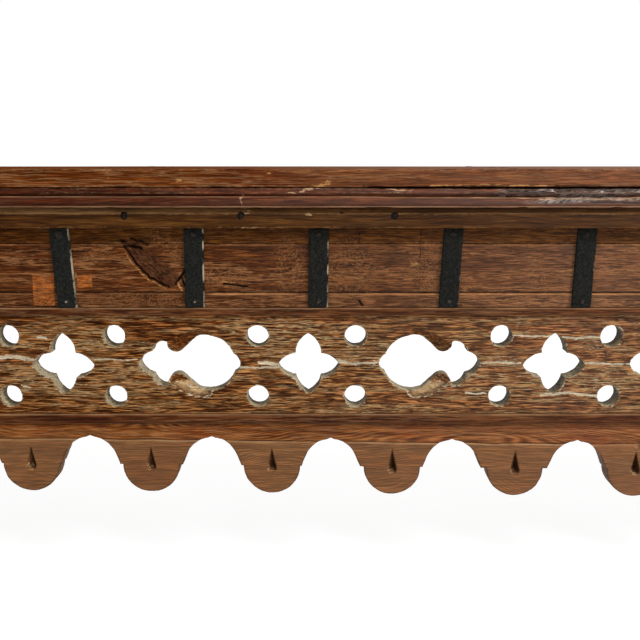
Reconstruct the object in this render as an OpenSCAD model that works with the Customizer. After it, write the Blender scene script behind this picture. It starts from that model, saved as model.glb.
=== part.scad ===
// Long bench with a moulded cornice, an iron-strapped frieze, a fretwork board and a scalloped apron.
// Millimetres, +Z up, front faces -Y, origin on the floor under the middle of the seat.

/* [Seat] */
// Length of the seat
seat_l = 1960; // [1500:10:2400]
// Depth of the seat, front to back
seat_w = 360; // [320:5:460]
// Height of the seat above the floor
seat_h = 470; // [440:5:520]
// Thickness of the seat planks
seat_t = 20; // [16:1:28]
// Open joint between two seat planks
plank_gap = 1; // [0.6:0.1:2]

/* [Cornice] */
// How far the seat stands out past the frieze, at the front and both ends
cornice_out = 24; // [20:1:32]
// How far the fascia stands out past the frieze
fascia_out = 14; // [11:1:17]
// Height of the lip under the seat edge
lip_h = 7; // [5:0.5:9]
// Height of the sunk quirk under the lip
quirk_h = 2; // [1.5:0.5:3]
// Diameter of the cornice bead
bead_d = 10.5; // [8:0.5:13]
// Height of the fillet under the bead
fillet_h = 2; // [1.5:0.5:4]
// Height of the fascia board
fascia_h = 22.5; // [18:0.5:30]
// Height of the slope at the top of the fascia
fascia_slope_h = 6.5; // [4:0.5:9]

/* [Frieze] */
// Thickness of the frieze boards
frieze_t = 24; // [20:1:30]
// Height of the top frieze strip
frieze_top_h = 17.5; // [12:0.5:24]
// Height of the main frieze board
frieze_mid_h = 54; // [44:1:66]
// Height of the bottom frieze strip
frieze_low_h = 16.5; // [14:0.5:22]
// Depth of the let-in repair patches
patch_t = 6; // [4:1:9]

/* [Fretwork] */
// Thickness of the fretwork board
fret_t = 22; // [16:1:23]
// Height of the fretwork board between its two mouldings
fret_h = 112.5; // [104:0.5:130]
// Height of the half-round moulding above the fretwork
upper_mould_h = 9; // [7:0.5:12]
// Height of the half-round moulding below the fretwork
lower_mould_h = 12; // [9:0.5:15]
// How far the two mouldings stand out from the fretwork board
mould_out = 6; // [4:0.5:8]
// Distance between two quatrefoils
fret_pitch = 274; // [262:2:320]
// Width and height across the points of a quatrefoil
foil_d = 69; // [60:1:76]
// Diameter of the round holes
hole_d = 24; // [18:1:28]
// Distance of the round holes from the middle of their quatrefoil
hole_side = 58; // [54:1:62]
// Distance between the two rows of round holes
hole_rows = 69; // [64:1:74]

/* [Apron] */
// Thickness of the scalloped apron
apron_t = 22; // [16:1:23]
// Distance between two lobes
lobe_pitch = 138.2; // [134:0.2:160]
// Radius of a lobe
lobe_r = 32.5; // [30:0.5:36]
// Radius of the round arch between two lobes
arch_r = 30; // [26:1:31]
// How far the feet of the arches lean out, in degrees
arch_lean = 22; // [0:1:26]
// Plain height of the apron above the points of the arches
crown_h = 17; // [12:1:26]
// Place of the first arch point, from the middle of the bench
arch_start = 29.8; // [-40:0.2:40]
// Length of the teardrop cut in each lobe
drop_l = 31; // [24:1:36]
// Width of the teardrop cut in each lobe
drop_w = 12; // [7:0.5:14]
// Depth of the teardrop cut in each lobe
drop_depth = 8; // [4:1:11]
// How far the teardrops' round ends lie under the middles of the arches
drop_below = 10.5; // [4:0.5:14]
// Distance of the scribed line from the top of the apron
scribe_below = 22; // [18:0.5:28]

/* [Ironwork] */
// Width of the iron straps
strap_w = 22; // [16:1:28]
// Thickness of the iron straps
strap_t = 3; // [2:0.5:5]
// From the left end of the frieze to the middle of the first strap
strap_margin_left = 116; // [90:1:150]
// From the right end of the frieze to the middle of the last strap
strap_margin_right = 92; // [80:1:150]
// Diameter of the strap nails' heads
nail_head_d = 7; // [5:0.5:9]
// Diameter of the nails' shanks
nail_d = 3.5; // [2.5:0.5:4.5]
// How far strap nails and fascia pegs reach into the front rail
rail_bite = 12; // [8:1:13]

/* [Frame] */
// Width and depth of a leg
leg_w = 60; // [50:1:76]
// Size of the chamfer along a leg's corners
leg_chamfer = 4; // [2:0.5:8]
// Thickness of the rails
rail_t = 30; // [24:1:36]
// Height of the back rail
back_rail_h = 110; // [70:5:120]
// Height of the end rails
end_rail_h = 100; // [70:5:120]
// How far the seat stands out past the back legs
back_overhang = 14; // [8:1:24]
// Length of the rails' tenons
tenon_l = 36; // [24:1:42]
// Thickness of the rails' tenons
tenon_t = 12; // [8:1:14]
// Shoulder above and below each tenon
tenon_shoulder = 10; // [6:1:16]
// Width of the bearers under the seat
bearer_w = 45; // [35:1:60]
// Height of the bearers under the seat
bearer_h = 50; // [40:1:60]
// Length of the bearers' tenons
bearer_tenon_l = 16; // [10:1:20]
// Shoulder on both sides of each bearer's tenon
bearer_shoulder = 8; // [5:1:12]

/* [Pegs] */
// Diameter of the dark pegs in the fascia
fascia_peg_d = 9; // [7:0.5:11]
// Diameter of the pegs through the tenons
tenon_peg_d = 10; // [8:1:12]
// Diameter of the dowels between the front boards
dowel_d = 8; // [6:1:10]
// Length of the dowels between the front boards
dowel_l = 22; // [16:1:24]
// Distance between two dowels
dowel_pitch = 230; // [200:5:280]
// How far the tenon pegs stop short of the leg's far face
tenon_peg_stop = 9; // [5:1:14]
// Diameter of the seat nails' heads
seat_nail_head_d = 9; // [6:0.5:11]
// Room around a tenon or a dowel in its hole
fit = 0.2; // [0.1:0.05:0.4]

/* [Hidden] */
$fn = 48;
eps = 0.01;

// Planes front to back
seat_front = -seat_w / 2;
frieze_face = seat_front + cornice_out;
fascia_face = frieze_face - fascia_out;
board_back = frieze_face + frieze_t;
fret_face = board_back - fret_t;
apron_face = board_back - apron_t;
back_face = seat_w / 2 - back_overhang;
front_rail_back = board_back + rail_t;

// Planes left to right, the same on both sides
seat_half = seat_l / 2;
frame_half = seat_half - cornice_out;
leg_inner = frame_half - leg_w;

// Levels from the top down
frame_top = seat_h - seat_t;
bead_mould_h = lip_h + quirk_h + bead_d + fillet_h;
fascia_top = frame_top - bead_mould_h;
frieze_top = fascia_top - fascia_h;
frieze_mid_top = frieze_top - frieze_top_h;
frieze_low_top = frieze_mid_top - frieze_mid_h;
fret_board_top = frieze_low_top - frieze_low_h;
fret_top = fret_board_top - upper_mould_h;
fret_bottom = fret_top - fret_h;
apron_top = fret_bottom - lower_mould_h;
arch_tip = apron_top - crown_h;
arch_point_h = 1.5;
spring_z = arch_tip - arch_point_h - arch_r;
lobe_rise = 2.5;
lobe_z = spring_z - lobe_rise;
foot_z = -2 * lobe_rise;
foot_x = arch_r / cos(arch_lean) - foot_z * tan(arch_lean);
fret_mid = (fret_top + fret_bottom) / 2;
foil_z = fret_mid + 1;
hole_z = fret_mid - 2;

// Joinery
tenon_h_front = frame_top - fret_board_top - 2 * tenon_shoulder;
tenon_h_back = back_rail_h - 2 * tenon_shoulder;
tenon_h_end = end_rail_h - 2 * tenon_shoulder;
back_rail_face = back_face - rail_t;
end_rail_face = frame_half - rail_t;
front_leg_back = board_back + leg_w;
back_leg_front = back_face - leg_w;
// The end rails' tenons stop short of the long rails' tenons that cross them
end_tenon_stop = 8;
end_tenon_l = min(tenon_l, leg_w / 2) - end_tenon_stop;
tenon_peg_x = leg_inner + tenon_l / 2 - 2;
tenon_peg_l = leg_w - tenon_peg_stop;

// Straps, laid by hand: each has its own small shift and lean
strap_shift = [3, -4, 2, -3, 4.4, 6.1, 0.4, 3.7, 7.8, -3, 2, -4, 3];
strap_lean = [-1.5, 1.2, -0.8, 2, 3.8, -0.2, -0.6, -2.6, -2.1, 0.7, -1.2, 1.6, -0.9];
strap_count = len(strap_shift);
strap_pitch = (2 * frame_half - strap_margin_left - strap_margin_right) / (strap_count - 1);
strap_x = [for (i = [0 : strap_count - 1])
    strap_margin_left - frame_half + i * strap_pitch + strap_shift[i]];
strap_gap = 0.3;
strap_top = frieze_top - strap_gap;
strap_bottom = fret_board_top + strap_gap;
strap_l = strap_top - strap_bottom;
strap_nail_inset = 6.5;
strap_nail_z = [strap_nail_inset - strap_l / 2, strap_l / 2 - strap_nail_inset];

// Pegs along the fascia, the bearers' nails and the dowels
fascia_peg_x = [-868, -742, -611, -488, -345, -196, -71, 94, 384, 506, 621, 748, 862];
fascia_peg_below = 9;
fascia_peg_proud = 0.5;
bite = min(rail_bite, rail_t - bearer_tenon_l - 2);
dowel_count = floor((leg_inner - dowel_d) / dowel_pitch);
dowel_y = board_back - min(fret_t, apron_t) / 2;
plank_w = (seat_w - 2 * plank_gap) / 3;
bearer_x = [for (share = [-0.75, -0.25, 0.25, 0.75]) share * leg_inner];
seat_nail_end_x = frame_half - rail_t / 2;
seat_nail_x = concat([-seat_nail_end_x], bearer_x, [seat_nail_end_x]);
seat_nail_l = seat_t + bead_mould_h - 2;
seat_nail_head_h = 2;
board_nail_inset = 18;
board_nail_bite = leg_w / 3;
nail_dome = 0.25;

// Repair patches let into the frieze on both sides of one strap, and their edges there
patch_strap = 4;
patch_top = frieze_low_top + 20;
large_patch_bottom = fret_board_top + 2;
small_patch_bottom = frieze_low_top + 5;
large_patch_left = strap_x[patch_strap] - strap_w / 2 - 24;
large_patch_right = strap_x[patch_strap] - strap_w / 2;
small_patch_left = strap_x[patch_strap] + strap_w / 2 + 3;
small_patch_right = small_patch_left + 17;

// The openings were laid out by hand: each has its own small shift, in a run that starts again
foil_shift = [0, 0.9, 2.5];
opening_shift = [2.4, 2.4, 5.6];
left_hole_shift = [-2.4, 2.1, 0.5];
right_hole_shift = [0, -4.4, 7.3];
// Petals of a quatrefoil: half their length, a point on their side, and how low the side petals hang
foil_petal_half_l = 0.326 * foil_d;
foil_petal_side = [0.029, 0.203] * foil_d;
side_petal_drop = 2;

// Lobed openings of the fretwork, measured from their middle. They grow with the quatrefoils.
fret_unit = foil_d / 69;
trefoil_x = 26.6 * fret_unit;
end_petal_tip = 27.8 * fret_unit;
end_petal_half_l = 18.8 * fret_unit;
end_petal_side = [3.4, 14] * fret_unit;
high_petal_tip = 25.8 * fret_unit;
high_petal_half_l = 15.2 * fret_unit;
high_petal_side = [4.1, 12.6] * fret_unit;
neck_h = 40 * fret_unit;
round_x = 21.8 * fret_unit;
round_r = 32 * fret_unit;
petal_x = 46.5 * fret_unit;
petal_r = 12.4 * fret_unit;
tongue_x = 12.5 * fret_unit;
tongue_z = 22.4 * fret_unit;
tongue_r = 10 * fret_unit;
tongue_root_left = 23 * fret_unit;
tongue_root_right = 11.5 * fret_unit;
tongue_root_z = 31 * fret_unit;
tongue_back_z = 42 * fret_unit;

// The arches that fit between the two ends, with some plain board left at each end.
// They were set out by eye: arches and lobes are a little off their places, in runs that start again.
arch_shift = [-1, -3.5, -3.3, 1.3, -1.3];
lobe_shift = [-1.6, -1.8, -2.5, -0.2, -0.3];
arch_tip_w = 12;
arch_tip_sink = 1.2;
plain_share = 0.62;
arch_reach = frame_half - plain_share * lobe_pitch;
first_arch = ceil((-arch_reach - arch_start) / lobe_pitch);
last_arch = floor((arch_reach - arch_start) / lobe_pitch);
arches = [for (i = [first_arch : last_arch]) arch_start + i * lobe_pitch + in_run(arch_shift, i)];
lobes = [for (i = [first_arch + 1 : last_arch])
    arch_start + (i - 0.5) * lobe_pitch + in_run(lobe_shift, i)];
left_lobe = arches[0] - lobe_pitch / 2;
right_lobe = arches[len(arches) - 1] + lobe_pitch / 2;

// A box given by its two corners
module span(low, high) {
    translate(low) cube(high - low);
}

// A round peg along +Y from a point, with a length
module peg_y(at, d, l) {
    translate(at) rotate([-90, 0, 0]) cylinder(d = d, h = l);
}

// A nail driven along +Y: a low domed head in front of the point, a shank behind it
module nail_y(at, head_d, d, l) {
    translate(at) rotate([90, 0, 0]) intersection() {
        cylinder(d = head_d, h = nail_dome * head_d);
        translate([0, 0, -head_d / 2]) sphere(d = 1.5 * head_d);
    }
    peg_y(at, d, l);
}

// The value for place i in a list that starts again after its last value; its first is for place -1
function in_run(list, i) = list[(i + 1 + 100 * len(list)) % len(list)];

// Leaf-shaped opening with two points, half length a, that passes through the point p
module leaf(a, p) {
    c = (a * a - p[0] * p[0] - p[1] * p[1]) / (2 * p[1]);
    r = sqrt(a * a + c * c);
    intersection() {
        translate([0, -c]) circle(r, $fn = 96);
        translate([0, c]) circle(r, $fn = 96);
    }
}

// A leaf whose right point lies at a distance on the X axis
module petal(tip, half_l, side) {
    translate([tip - half_l, 0]) leaf(half_l, side);
}

// Quatrefoil with pointed petals
module quatrefoil() {
    translate([0, -side_petal_drop]) for (turn = [0, 180])
        rotate(turn) petal(foil_d / 2, foil_petal_half_l, foil_petal_side);
    for (turn = [90, -90]) rotate(turn) petal(foil_d / 2, foil_petal_half_l, foil_petal_side);
}

// Lobed opening: a small pointed trefoil, a neck between two round tongues, and a round lobe
// with one small round petal, which lies towards +X
module lobed_opening() {
    difference() {
        union() {
            translate([-trefoil_x, 0]) {
                rotate(180) petal(end_petal_tip, end_petal_half_l, end_petal_side);
                for (turn = [90, -90])
                    rotate(turn) petal(high_petal_tip, high_petal_half_l, high_petal_side);
            }
            translate([-trefoil_x, -neck_h / 2]) square([trefoil_x + round_x, neck_h]);
            translate([round_x, 0]) circle(round_r, $fn = 96);
            translate([petal_x, 0]) circle(petal_r);
        }
        for (side = [-1, 1]) scale([1, side]) {
            translate([-tongue_x, tongue_z]) circle(tongue_r);
            polygon([
                [tongue_r * 0.64 - tongue_x, tongue_z - tongue_r * 0.77],
                [tongue_root_right, tongue_root_z], [tongue_root_right, tongue_back_z],
                [-tongue_root_left, tongue_back_z], [-tongue_x - tongue_r, tongue_z],
                [-tongue_x, tongue_z - tongue_r / 4]
            ]);
        }
    }
}

// Outline of the scalloped apron in X and Z
module apron_outline() {
    difference() {
        translate([-frame_half, lobe_z]) square([2 * frame_half, apron_top - lobe_z]);
        for (x = arches) translate([x, spring_z]) {
            circle(arch_r, $fn = 96);
            polygon([
                [-arch_r * cos(arch_lean), arch_r * sin(arch_lean)], [-foot_x, foot_z],
                [foot_x, foot_z], [arch_r * cos(arch_lean), arch_r * sin(arch_lean)]
            ]);
            polygon([
                [-arch_tip_w / 2, 0], [arch_tip_w / 2, 0], [arch_tip_w / 2, arch_r - arch_tip_sink],
                [0, arch_r + arch_point_h], [-arch_tip_w / 2, arch_r - arch_tip_sink]
            ]);
        }
    }
    for (x = lobes) lobe(x);
    end_lobe(-frame_half, left_lobe);
    end_lobe(frame_half, right_lobe);
}

// One round lobe hanging under the arches' sides
module lobe(x) {
    translate([x, lobe_z]) intersection() {
        circle(lobe_r, $fn = 96);
        translate([-lobe_r, -lobe_r]) square([2 * lobe_r, lobe_r]);
    }
}

// The last lobe at an end, cut square by the end of the board
module end_lobe(end_x, x) {
    lobe_x = sign(end_x) * min(abs(x), abs(end_x) - 1);
    intersection() {
        lobe(lobe_x);
        translate([-frame_half, lobe_z - lobe_r]) square([2 * frame_half, lobe_r]);
    }
    translate([min(lobe_x, end_x), lobe_z - lobe_r]) square([abs(end_x - lobe_x), lobe_r]);
}

// Teardrop cut, point up, in X and Z
module teardrop() {
    r = drop_w / 2;
    translate([0, r]) circle(r);
    polygon([[-0.94 * r, 1.34 * r], [0.94 * r, 1.34 * r], [0, drop_l]]);
}

// An outline in X and Z, made a board from the plane y0 to the plane y1
module upright(y0, y1) {
    translate([0, y1, 0]) rotate([90, 0, 0]) linear_extrude(y1 - y0) children();
}

// Section of the bead moulding: first coordinate outwards, second down from the frame's top
module bead_section(back) {
    lip_in = 1;
    quirk_in = 5;
    translate([back, -lip_h]) square([cornice_out - lip_in - back, lip_h]);
    translate([back, -bead_mould_h]) square([cornice_out - quirk_in - back, bead_mould_h]);
    translate([cornice_out - bead_d / 2, -lip_h - quirk_h - bead_d / 2]) circle(d = bead_d);
}

// Section of the fascia: a slope at the top, then a flat face
module fascia_section(back) {
    slope_in = 4;
    polygon([
        [back, 0], [fascia_out - slope_in, 0], [fascia_out, -fascia_slope_h],
        [fascia_out, -fascia_h], [back, -fascia_h]
    ]);
}

// A section run along the front, mitred at both corners
module front_run(top) {
    intersection() {
        translate([-seat_half, frieze_face, top]) rotate([90, 0, 90]) linear_extrude(2 * seat_half)
            mirror([1, 0]) children();
        translate([0, 0, top - bead_mould_h - fascia_h]) linear_extrude(2 * (bead_mould_h + fascia_h))
            polygon([
                [-seat_half, seat_front], [seat_half, seat_front], [frame_half, frieze_face],
                [frame_half, board_back], [-frame_half, board_back], [-frame_half, frieze_face]
            ]);
    }
}

// A section run along the right end, mitred at the front corner
module end_run(top) {
    intersection() {
        translate([frame_half, back_face, top]) rotate([90, 0, 0]) linear_extrude(back_face - seat_front)
            children();
        translate([0, 0, top - bead_mould_h - fascia_h]) linear_extrude(2 * (bead_mould_h + fascia_h))
            polygon([
                [seat_half, seat_front], [seat_half, back_face], [frame_half, back_face],
                [frame_half, frieze_face]
            ]);
    }
}

// The frame of one strap: its middle on the frieze, turned by its lean
module at_strap(i) {
    translate([strap_x[i], 0, (strap_top + strap_bottom) / 2]) rotate([0, -strap_lean[i], 0]) children();
}

// Nail shanks' holes through the frieze and into the rail
module strap_nail_holes() {
    for (i = [0 : strap_count - 1]) at_strap(i) for (z = strap_nail_z)
        peg_y([0, frieze_face - eps, z], nail_d + 2 * fit, frieze_t + bite + fit);
}

// The dark pegs through the fascia into the rail, or their holes when they get some extra length
module fascia_peg_set(d, extra) {
    for (x = fascia_peg_x) if (abs(x) < leg_inner - fascia_peg_d)
        peg_y([x, fascia_face - fascia_peg_proud - extra, fascia_top - fascia_peg_below], d,
            board_back - fascia_face + fascia_peg_proud + bite + 2 * extra);
}

// Dowels that join two front boards edge to edge, standing across the joint at level z
module dowel_row(z, d, l) {
    for (i = [-dowel_count : dowel_count])
        translate([i * dowel_pitch, dowel_y, z - l / 2]) cylinder(d = d, h = l);
}

// Nails that hold the ends of the front boards to the legs
function board_nail_places() = [for (side = [-1, 1], z = [
        (frieze_mid_top + frieze_low_top) / 2,
        fret_top - board_nail_inset,
        fret_bottom + board_nail_inset,
        (apron_top + spring_z) / 2
    ]) [side * (frame_half - leg_w / 2), z]];

module board_nail_holes() {
    reach = frieze_t + mould_out + leg_w / 2;
    for (p = board_nail_places())
        peg_y([p[0], frieze_face - eps - mould_out, p[1]], nail_d + 2 * fit, reach);
}

// Seat nails: two in each plank over each leg pair and each bearer
seat_nail_places = [for (x = seat_nail_x, plank = [0 : 2], side = [-1, 1])
    [x, seat_front + plank_w / 2 + plank * (plank_w + plank_gap) + side * plank_w / 4]];

module seat_nail_holes() {
    for (p = seat_nail_places) translate([p[0], p[1], seat_h]) {
        translate([0, 0, -seat_nail_l - fit]) cylinder(d = nail_d + 2 * fit, h = seat_nail_l + 1);
        translate([0, 0, -seat_nail_head_h])
            cylinder(d = seat_nail_head_d + 2 * fit, h = seat_nail_head_h + 1);
    }
}

// One tenon along +X from a plane, centred on y and z
module tenon_x(x0, y, z0, l, h, room) {
    translate([x0, y - tenon_t / 2 - room, z0 - room]) cube([l + room, tenon_t + 2 * room, h + 2 * room]);
}

module seat_plank(index, tint) {
    y0 = seat_front + index * (plank_w + plank_gap);
    color(tint) difference() {
        span([-seat_half, y0, frame_top], [seat_half, y0 + plank_w, seat_h]);
        seat_nail_holes();
    }
}

module seat_nails() {
    color([0.16, 0.15, 0.14]) for (p = seat_nail_places) translate([p[0], p[1], seat_h]) {
        translate([0, 0, -seat_nail_l]) cylinder(d = nail_d, h = seat_nail_l);
        translate([0, 0, -seat_nail_head_h]) cylinder(d = seat_nail_head_d, h = seat_nail_head_h);
    }
}

module front_bead_moulding() {
    color([0.36, 0.17, 0.1]) difference() {
        front_run(frame_top) bead_section(-frieze_t);
        seat_nail_holes();
    }
}

module end_bead_moulding(side) {
    color([0.36, 0.17, 0.1]) scale([side, 1, 1]) end_run(frame_top) bead_section(0);
}

module front_fascia() {
    color([0.33, 0.2, 0.1]) difference() {
        front_run(fascia_top) fascia_section(-frieze_t);
        fascia_peg_set(fascia_peg_d + 2 * fit, 1);
    }
}

module end_fascia(side) {
    color([0.33, 0.2, 0.1]) scale([side, 1, 1]) end_run(fascia_top) fascia_section(0);
}

module fascia_pegs() {
    color([0.12, 0.1, 0.09]) fascia_peg_set(fascia_peg_d, 0);
}

module frieze_strip(low, high) {
    color([0.4, 0.2, 0.12]) difference() {
        span([-frame_half, frieze_face, low], [frame_half, board_back, high]);
        strap_nail_holes();
        board_nail_holes();
        large_patch(fit);
        small_patch(fit);
        dowel_row(fret_board_top, dowel_d + 2 * fit, dowel_l + 2);
    }
}

module large_patch(room) {
    span([large_patch_left - room, frieze_face - 2 * room, large_patch_bottom - room],
        [large_patch_right + room, frieze_face + patch_t + room, patch_top + room]);
}

module small_patch(room) {
    span([small_patch_left - room, frieze_face - 2 * room, small_patch_bottom - room],
        [small_patch_right + room, frieze_face + patch_t + room, patch_top + room]);
}

module frieze_patch_large() {
    color([0.55, 0.27, 0.12]) large_patch(0);
}

module frieze_patch_small() {
    color([0.55, 0.27, 0.12]) small_patch(0);
}

module iron_strap(i) {
    color([0.1, 0.1, 0.1]) at_strap(i) difference() {
        span([-strap_w / 2, frieze_face - strap_t, -strap_l / 2], [strap_w / 2, frieze_face, strap_l / 2]);
        for (z = strap_nail_z) peg_y([0, frieze_face - strap_t - 1, z], nail_d + 2 * fit, strap_t + 2);
    }
}

module strap_nails() {
    color([0.2, 0.18, 0.16]) for (i = [0 : strap_count - 1]) at_strap(i) for (z = strap_nail_z)
        nail_y([0, frieze_face - strap_t, z], nail_head_d, nail_d, strap_t + frieze_t + bite);
}

// Half-round moulding planted on the fretwork board
module fret_moulding(low, high) {
    h = high - low;
    round_r = min(mould_out, h / 2) - 0.5;
    color([0.45, 0.2, 0.1]) translate([-frame_half, fret_face, low]) rotate([90, 0, 90])
        linear_extrude(2 * frame_half) mirror([1, 0]) {
            square([mould_out - round_r, h]);
            translate([0, round_r]) square([mould_out, h - 2 * round_r]);
            intersection() {
                for (z = [round_r, h - round_r]) translate([mould_out - round_r, z]) circle(round_r);
                square([mould_out, h]);
            }
        }
}

module fretwork_board() {
    foils = floor((leg_inner - hole_side - hole_d / 2) / fret_pitch);
    color([0.42, 0.27, 0.14]) difference() {
        span([-frame_half, fret_face, apron_top], [frame_half, board_back, fret_board_top]);
        upright(fret_face - 1, board_back + 1) {
            for (i = [-foils : foils])
                translate([i * fret_pitch + in_run(foil_shift, i), foil_z]) quatrefoil();
            for (i = [-foils : foils - 1])
                translate([(i + 0.5) * fret_pitch + in_run(opening_shift, i), foil_z])
                    scale([i % 2 == 0 ? -1 : 1, 1]) lobed_opening();
        }
        for (i = [-foils : foils], row = [-1, 1]) {
            z = hole_z + row * hole_rows / 2;
            left_x = i * fret_pitch - hole_side + in_run(left_hole_shift, i);
            right_x = i * fret_pitch + hole_side + in_run(right_hole_shift, i);
            peg_y([left_x, fret_face - 1, z], hole_d, fret_t + 2);
            peg_y([right_x, fret_face - 1, z], hole_d, fret_t + 2);
        }
        board_nail_holes();
        dowel_row(fret_board_top, dowel_d + 2 * fit, dowel_l + 2);
        dowel_row(apron_top, dowel_d + 2 * fit, dowel_l + 2);
    }
}

module scalloped_apron() {
    drop_z = spring_z - drop_below;
    scribe = 1.2;
    scribe_z = apron_top - scribe_below;
    color([0.45, 0.22, 0.11]) difference() {
        upright(apron_face, board_back) apron_outline();
        upright(apron_face - 1, apron_face + drop_depth)
            for (x = concat([left_lobe], lobes)) translate([x, drop_z]) teardrop();
        span([-seat_half, apron_face - 1, scribe_z - scribe], [seat_half, apron_face + scribe, scribe_z]);
        board_nail_holes();
        dowel_row(apron_top, dowel_d + 2 * fit, dowel_l + 2);
    }
}

module board_nails() {
    color([0.2, 0.18, 0.16]) for (p = board_nail_places()) {
        face = p[1] > fret_board_top ? frieze_face : p[1] > apron_top ? fret_face : apron_face;
        nail_y([p[0], face, p[1]], nail_head_d, nail_d, board_back - face + board_nail_bite);
    }
}

module front_rail() {
    color([0.4, 0.25, 0.15]) difference() {
        union() {
            span([-leg_inner, board_back, fret_board_top], [leg_inner, front_rail_back, frame_top]);
            for (side = [-1, 1]) scale([side, 1, 1])
                tenon_x(leg_inner - eps, board_back + rail_t / 2, fret_board_top + tenon_shoulder,
                    tenon_l, tenon_h_front, 0);
        }
        strap_nail_holes();
        fascia_peg_set(fascia_peg_d + 2 * fit, 1);
        bearer_mortises();
        seat_nail_holes();
        board_nail_holes();
        tenon_peg_holes();
    }
}

module back_rail() {
    low = frame_top - back_rail_h;
    color([0.4, 0.25, 0.15]) difference() {
        union() {
            span([-leg_inner, back_rail_face, low], [leg_inner, back_face, frame_top]);
            for (side = [-1, 1]) scale([side, 1, 1])
                tenon_x(leg_inner - eps, back_face - rail_t / 2, low + tenon_shoulder,
                    tenon_l, tenon_h_back, 0);
        }
        bearer_mortises();
        seat_nail_holes();
        tenon_peg_holes();
    }
}

// Tenon of an end rail along Y between two planes, at the right end
module end_tenon(y0, y1, room) {
    x = frame_half - rail_t / 2;
    low = frame_top - end_rail_h + tenon_shoulder;
    span([x - tenon_t / 2 - room, y0, low - room], [x + tenon_t / 2 + room, y1, low + tenon_h_end + room]);
}

module end_rail(side) {
    color([0.4, 0.25, 0.15]) scale([side, 1, 1]) difference() {
        union() {
            span([end_rail_face, front_leg_back, frame_top - end_rail_h],
                [frame_half, back_leg_front, frame_top]);
            end_tenon(front_leg_back - end_tenon_l, back_leg_front + end_tenon_l, 0);
        }
        seat_nail_holes();
    }
}

// Square post with chamfered corners, in plan between two corners
module post(low, high) {
    c = leg_chamfer;
    linear_extrude(frame_top) polygon([
        [low[0] + c, low[1]], [high[0] - c, low[1]], [high[0], low[1] + c], [high[0], high[1] - c],
        [high[0] - c, high[1]], [low[0] + c, high[1]], [low[0], high[1] - c], [low[0], low[1] + c]
    ]);
}

module front_leg(side) {
    color([0.34, 0.18, 0.1]) difference() {
        scale([side, 1, 1]) difference() {
            post([leg_inner, board_back], [frame_half, front_leg_back]);
            tenon_x(leg_inner - 1, board_back + rail_t / 2, fret_board_top + tenon_shoulder,
                tenon_l + 1, tenon_h_front, fit);
            end_tenon(front_leg_back - end_tenon_l - fit, front_leg_back + 1, fit);
        }
        board_nail_holes();
        seat_nail_holes();
        tenon_peg_holes();
    }
}

module back_leg(side) {
    color([0.34, 0.18, 0.1]) difference() {
        scale([side, 1, 1]) difference() {
            post([leg_inner, back_leg_front], [frame_half, back_face]);
            tenon_x(leg_inner - 1, back_face - rail_t / 2, frame_top - back_rail_h + tenon_shoulder,
                tenon_l + 1, tenon_h_back, fit);
            end_tenon(back_leg_front - 1, back_leg_front + end_tenon_l + fit, fit);
        }
        seat_nail_holes();
        tenon_peg_holes();
    }
}

// Bearer tenons along Y, seen as boxes with some room round them
module bearer_tenons(x, room) {
    half_w = bearer_w / 2 - bearer_shoulder + room;
    low = frame_top - bearer_h + bearer_shoulder - room;
    high = frame_top - 1.5 * bearer_shoulder + room;
    span([x - half_w, front_rail_back - bearer_tenon_l - room, low],
        [x + half_w, back_rail_face + bearer_tenon_l + room, high]);
}

module bearer_mortises() {
    for (x = bearer_x) bearer_tenons(x, fit);
}

module seat_bearer(index) {
    x = bearer_x[index];
    color([0.4, 0.25, 0.15]) difference() {
        union() {
            span([x - bearer_w / 2, front_rail_back, frame_top - bearer_h],
                [x + bearer_w / 2, back_rail_face, frame_top]);
            bearer_tenons(x, 0);
        }
        seat_nail_holes();
    }
}

// Pegs through the long rails' tenons, driven from the back face of each leg: two in each tenon
module tenon_peg_set(d, extra) {
    for (side = [-1, 1], share = [0.25, 0.75]) {
        front_z = fret_board_top + tenon_shoulder + share * tenon_h_front;
        back_z = frame_top - back_rail_h + tenon_shoulder + share * tenon_h_back;
        l = tenon_peg_l + 2 * extra;
        peg_y([side * tenon_peg_x, front_leg_back - tenon_peg_l - extra, front_z], d, l);
        peg_y([side * tenon_peg_x, back_face - tenon_peg_l - extra, back_z], d, l);
    }
}

module tenon_peg_holes() {
    tenon_peg_set(tenon_peg_d + 2 * fit, 0.5);
}

module tenon_pegs() {
    color([0.3, 0.16, 0.09]) tenon_peg_set(tenon_peg_d, 0);
}

module fret_dowels() {
    color([0.5, 0.35, 0.2]) dowel_row(fret_board_top, dowel_d, dowel_l);
}

module apron_dowels() {
    color([0.5, 0.35, 0.2]) dowel_row(apron_top, dowel_d, dowel_l);
}

seat_plank(0, [0.42, 0.2, 0.1]);  // seat_plank_front
seat_plank(1, [0.4, 0.21, 0.11]);  // seat_plank_middle
seat_plank(2, [0.38, 0.19, 0.1]);  // seat_plank_back
seat_nails();
front_bead_moulding();
end_bead_moulding(-1);  // left_bead_moulding
end_bead_moulding(1);  // right_bead_moulding
front_fascia();
end_fascia(-1);  // left_fascia
end_fascia(1);  // right_fascia
fascia_pegs();
frieze_strip(frieze_mid_top, frieze_top);  // frieze_top_strip
frieze_strip(frieze_low_top, frieze_mid_top);  // frieze_board
frieze_strip(fret_board_top, frieze_low_top);  // frieze_bottom_strip
frieze_patch_large();
frieze_patch_small();
iron_strap(0);  // iron_strap_01
iron_strap(1);  // iron_strap_02
iron_strap(2);  // iron_strap_03
iron_strap(3);  // iron_strap_04
iron_strap(4);  // iron_strap_05
iron_strap(5);  // iron_strap_06
iron_strap(6);  // iron_strap_07
iron_strap(7);  // iron_strap_08
iron_strap(8);  // iron_strap_09
iron_strap(9);  // iron_strap_10
iron_strap(10);  // iron_strap_11
iron_strap(11);  // iron_strap_12
iron_strap(12);  // iron_strap_13
strap_nails();
fret_moulding(fret_top, fret_board_top);  // upper_fret_moulding
fretwork_board();
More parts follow.
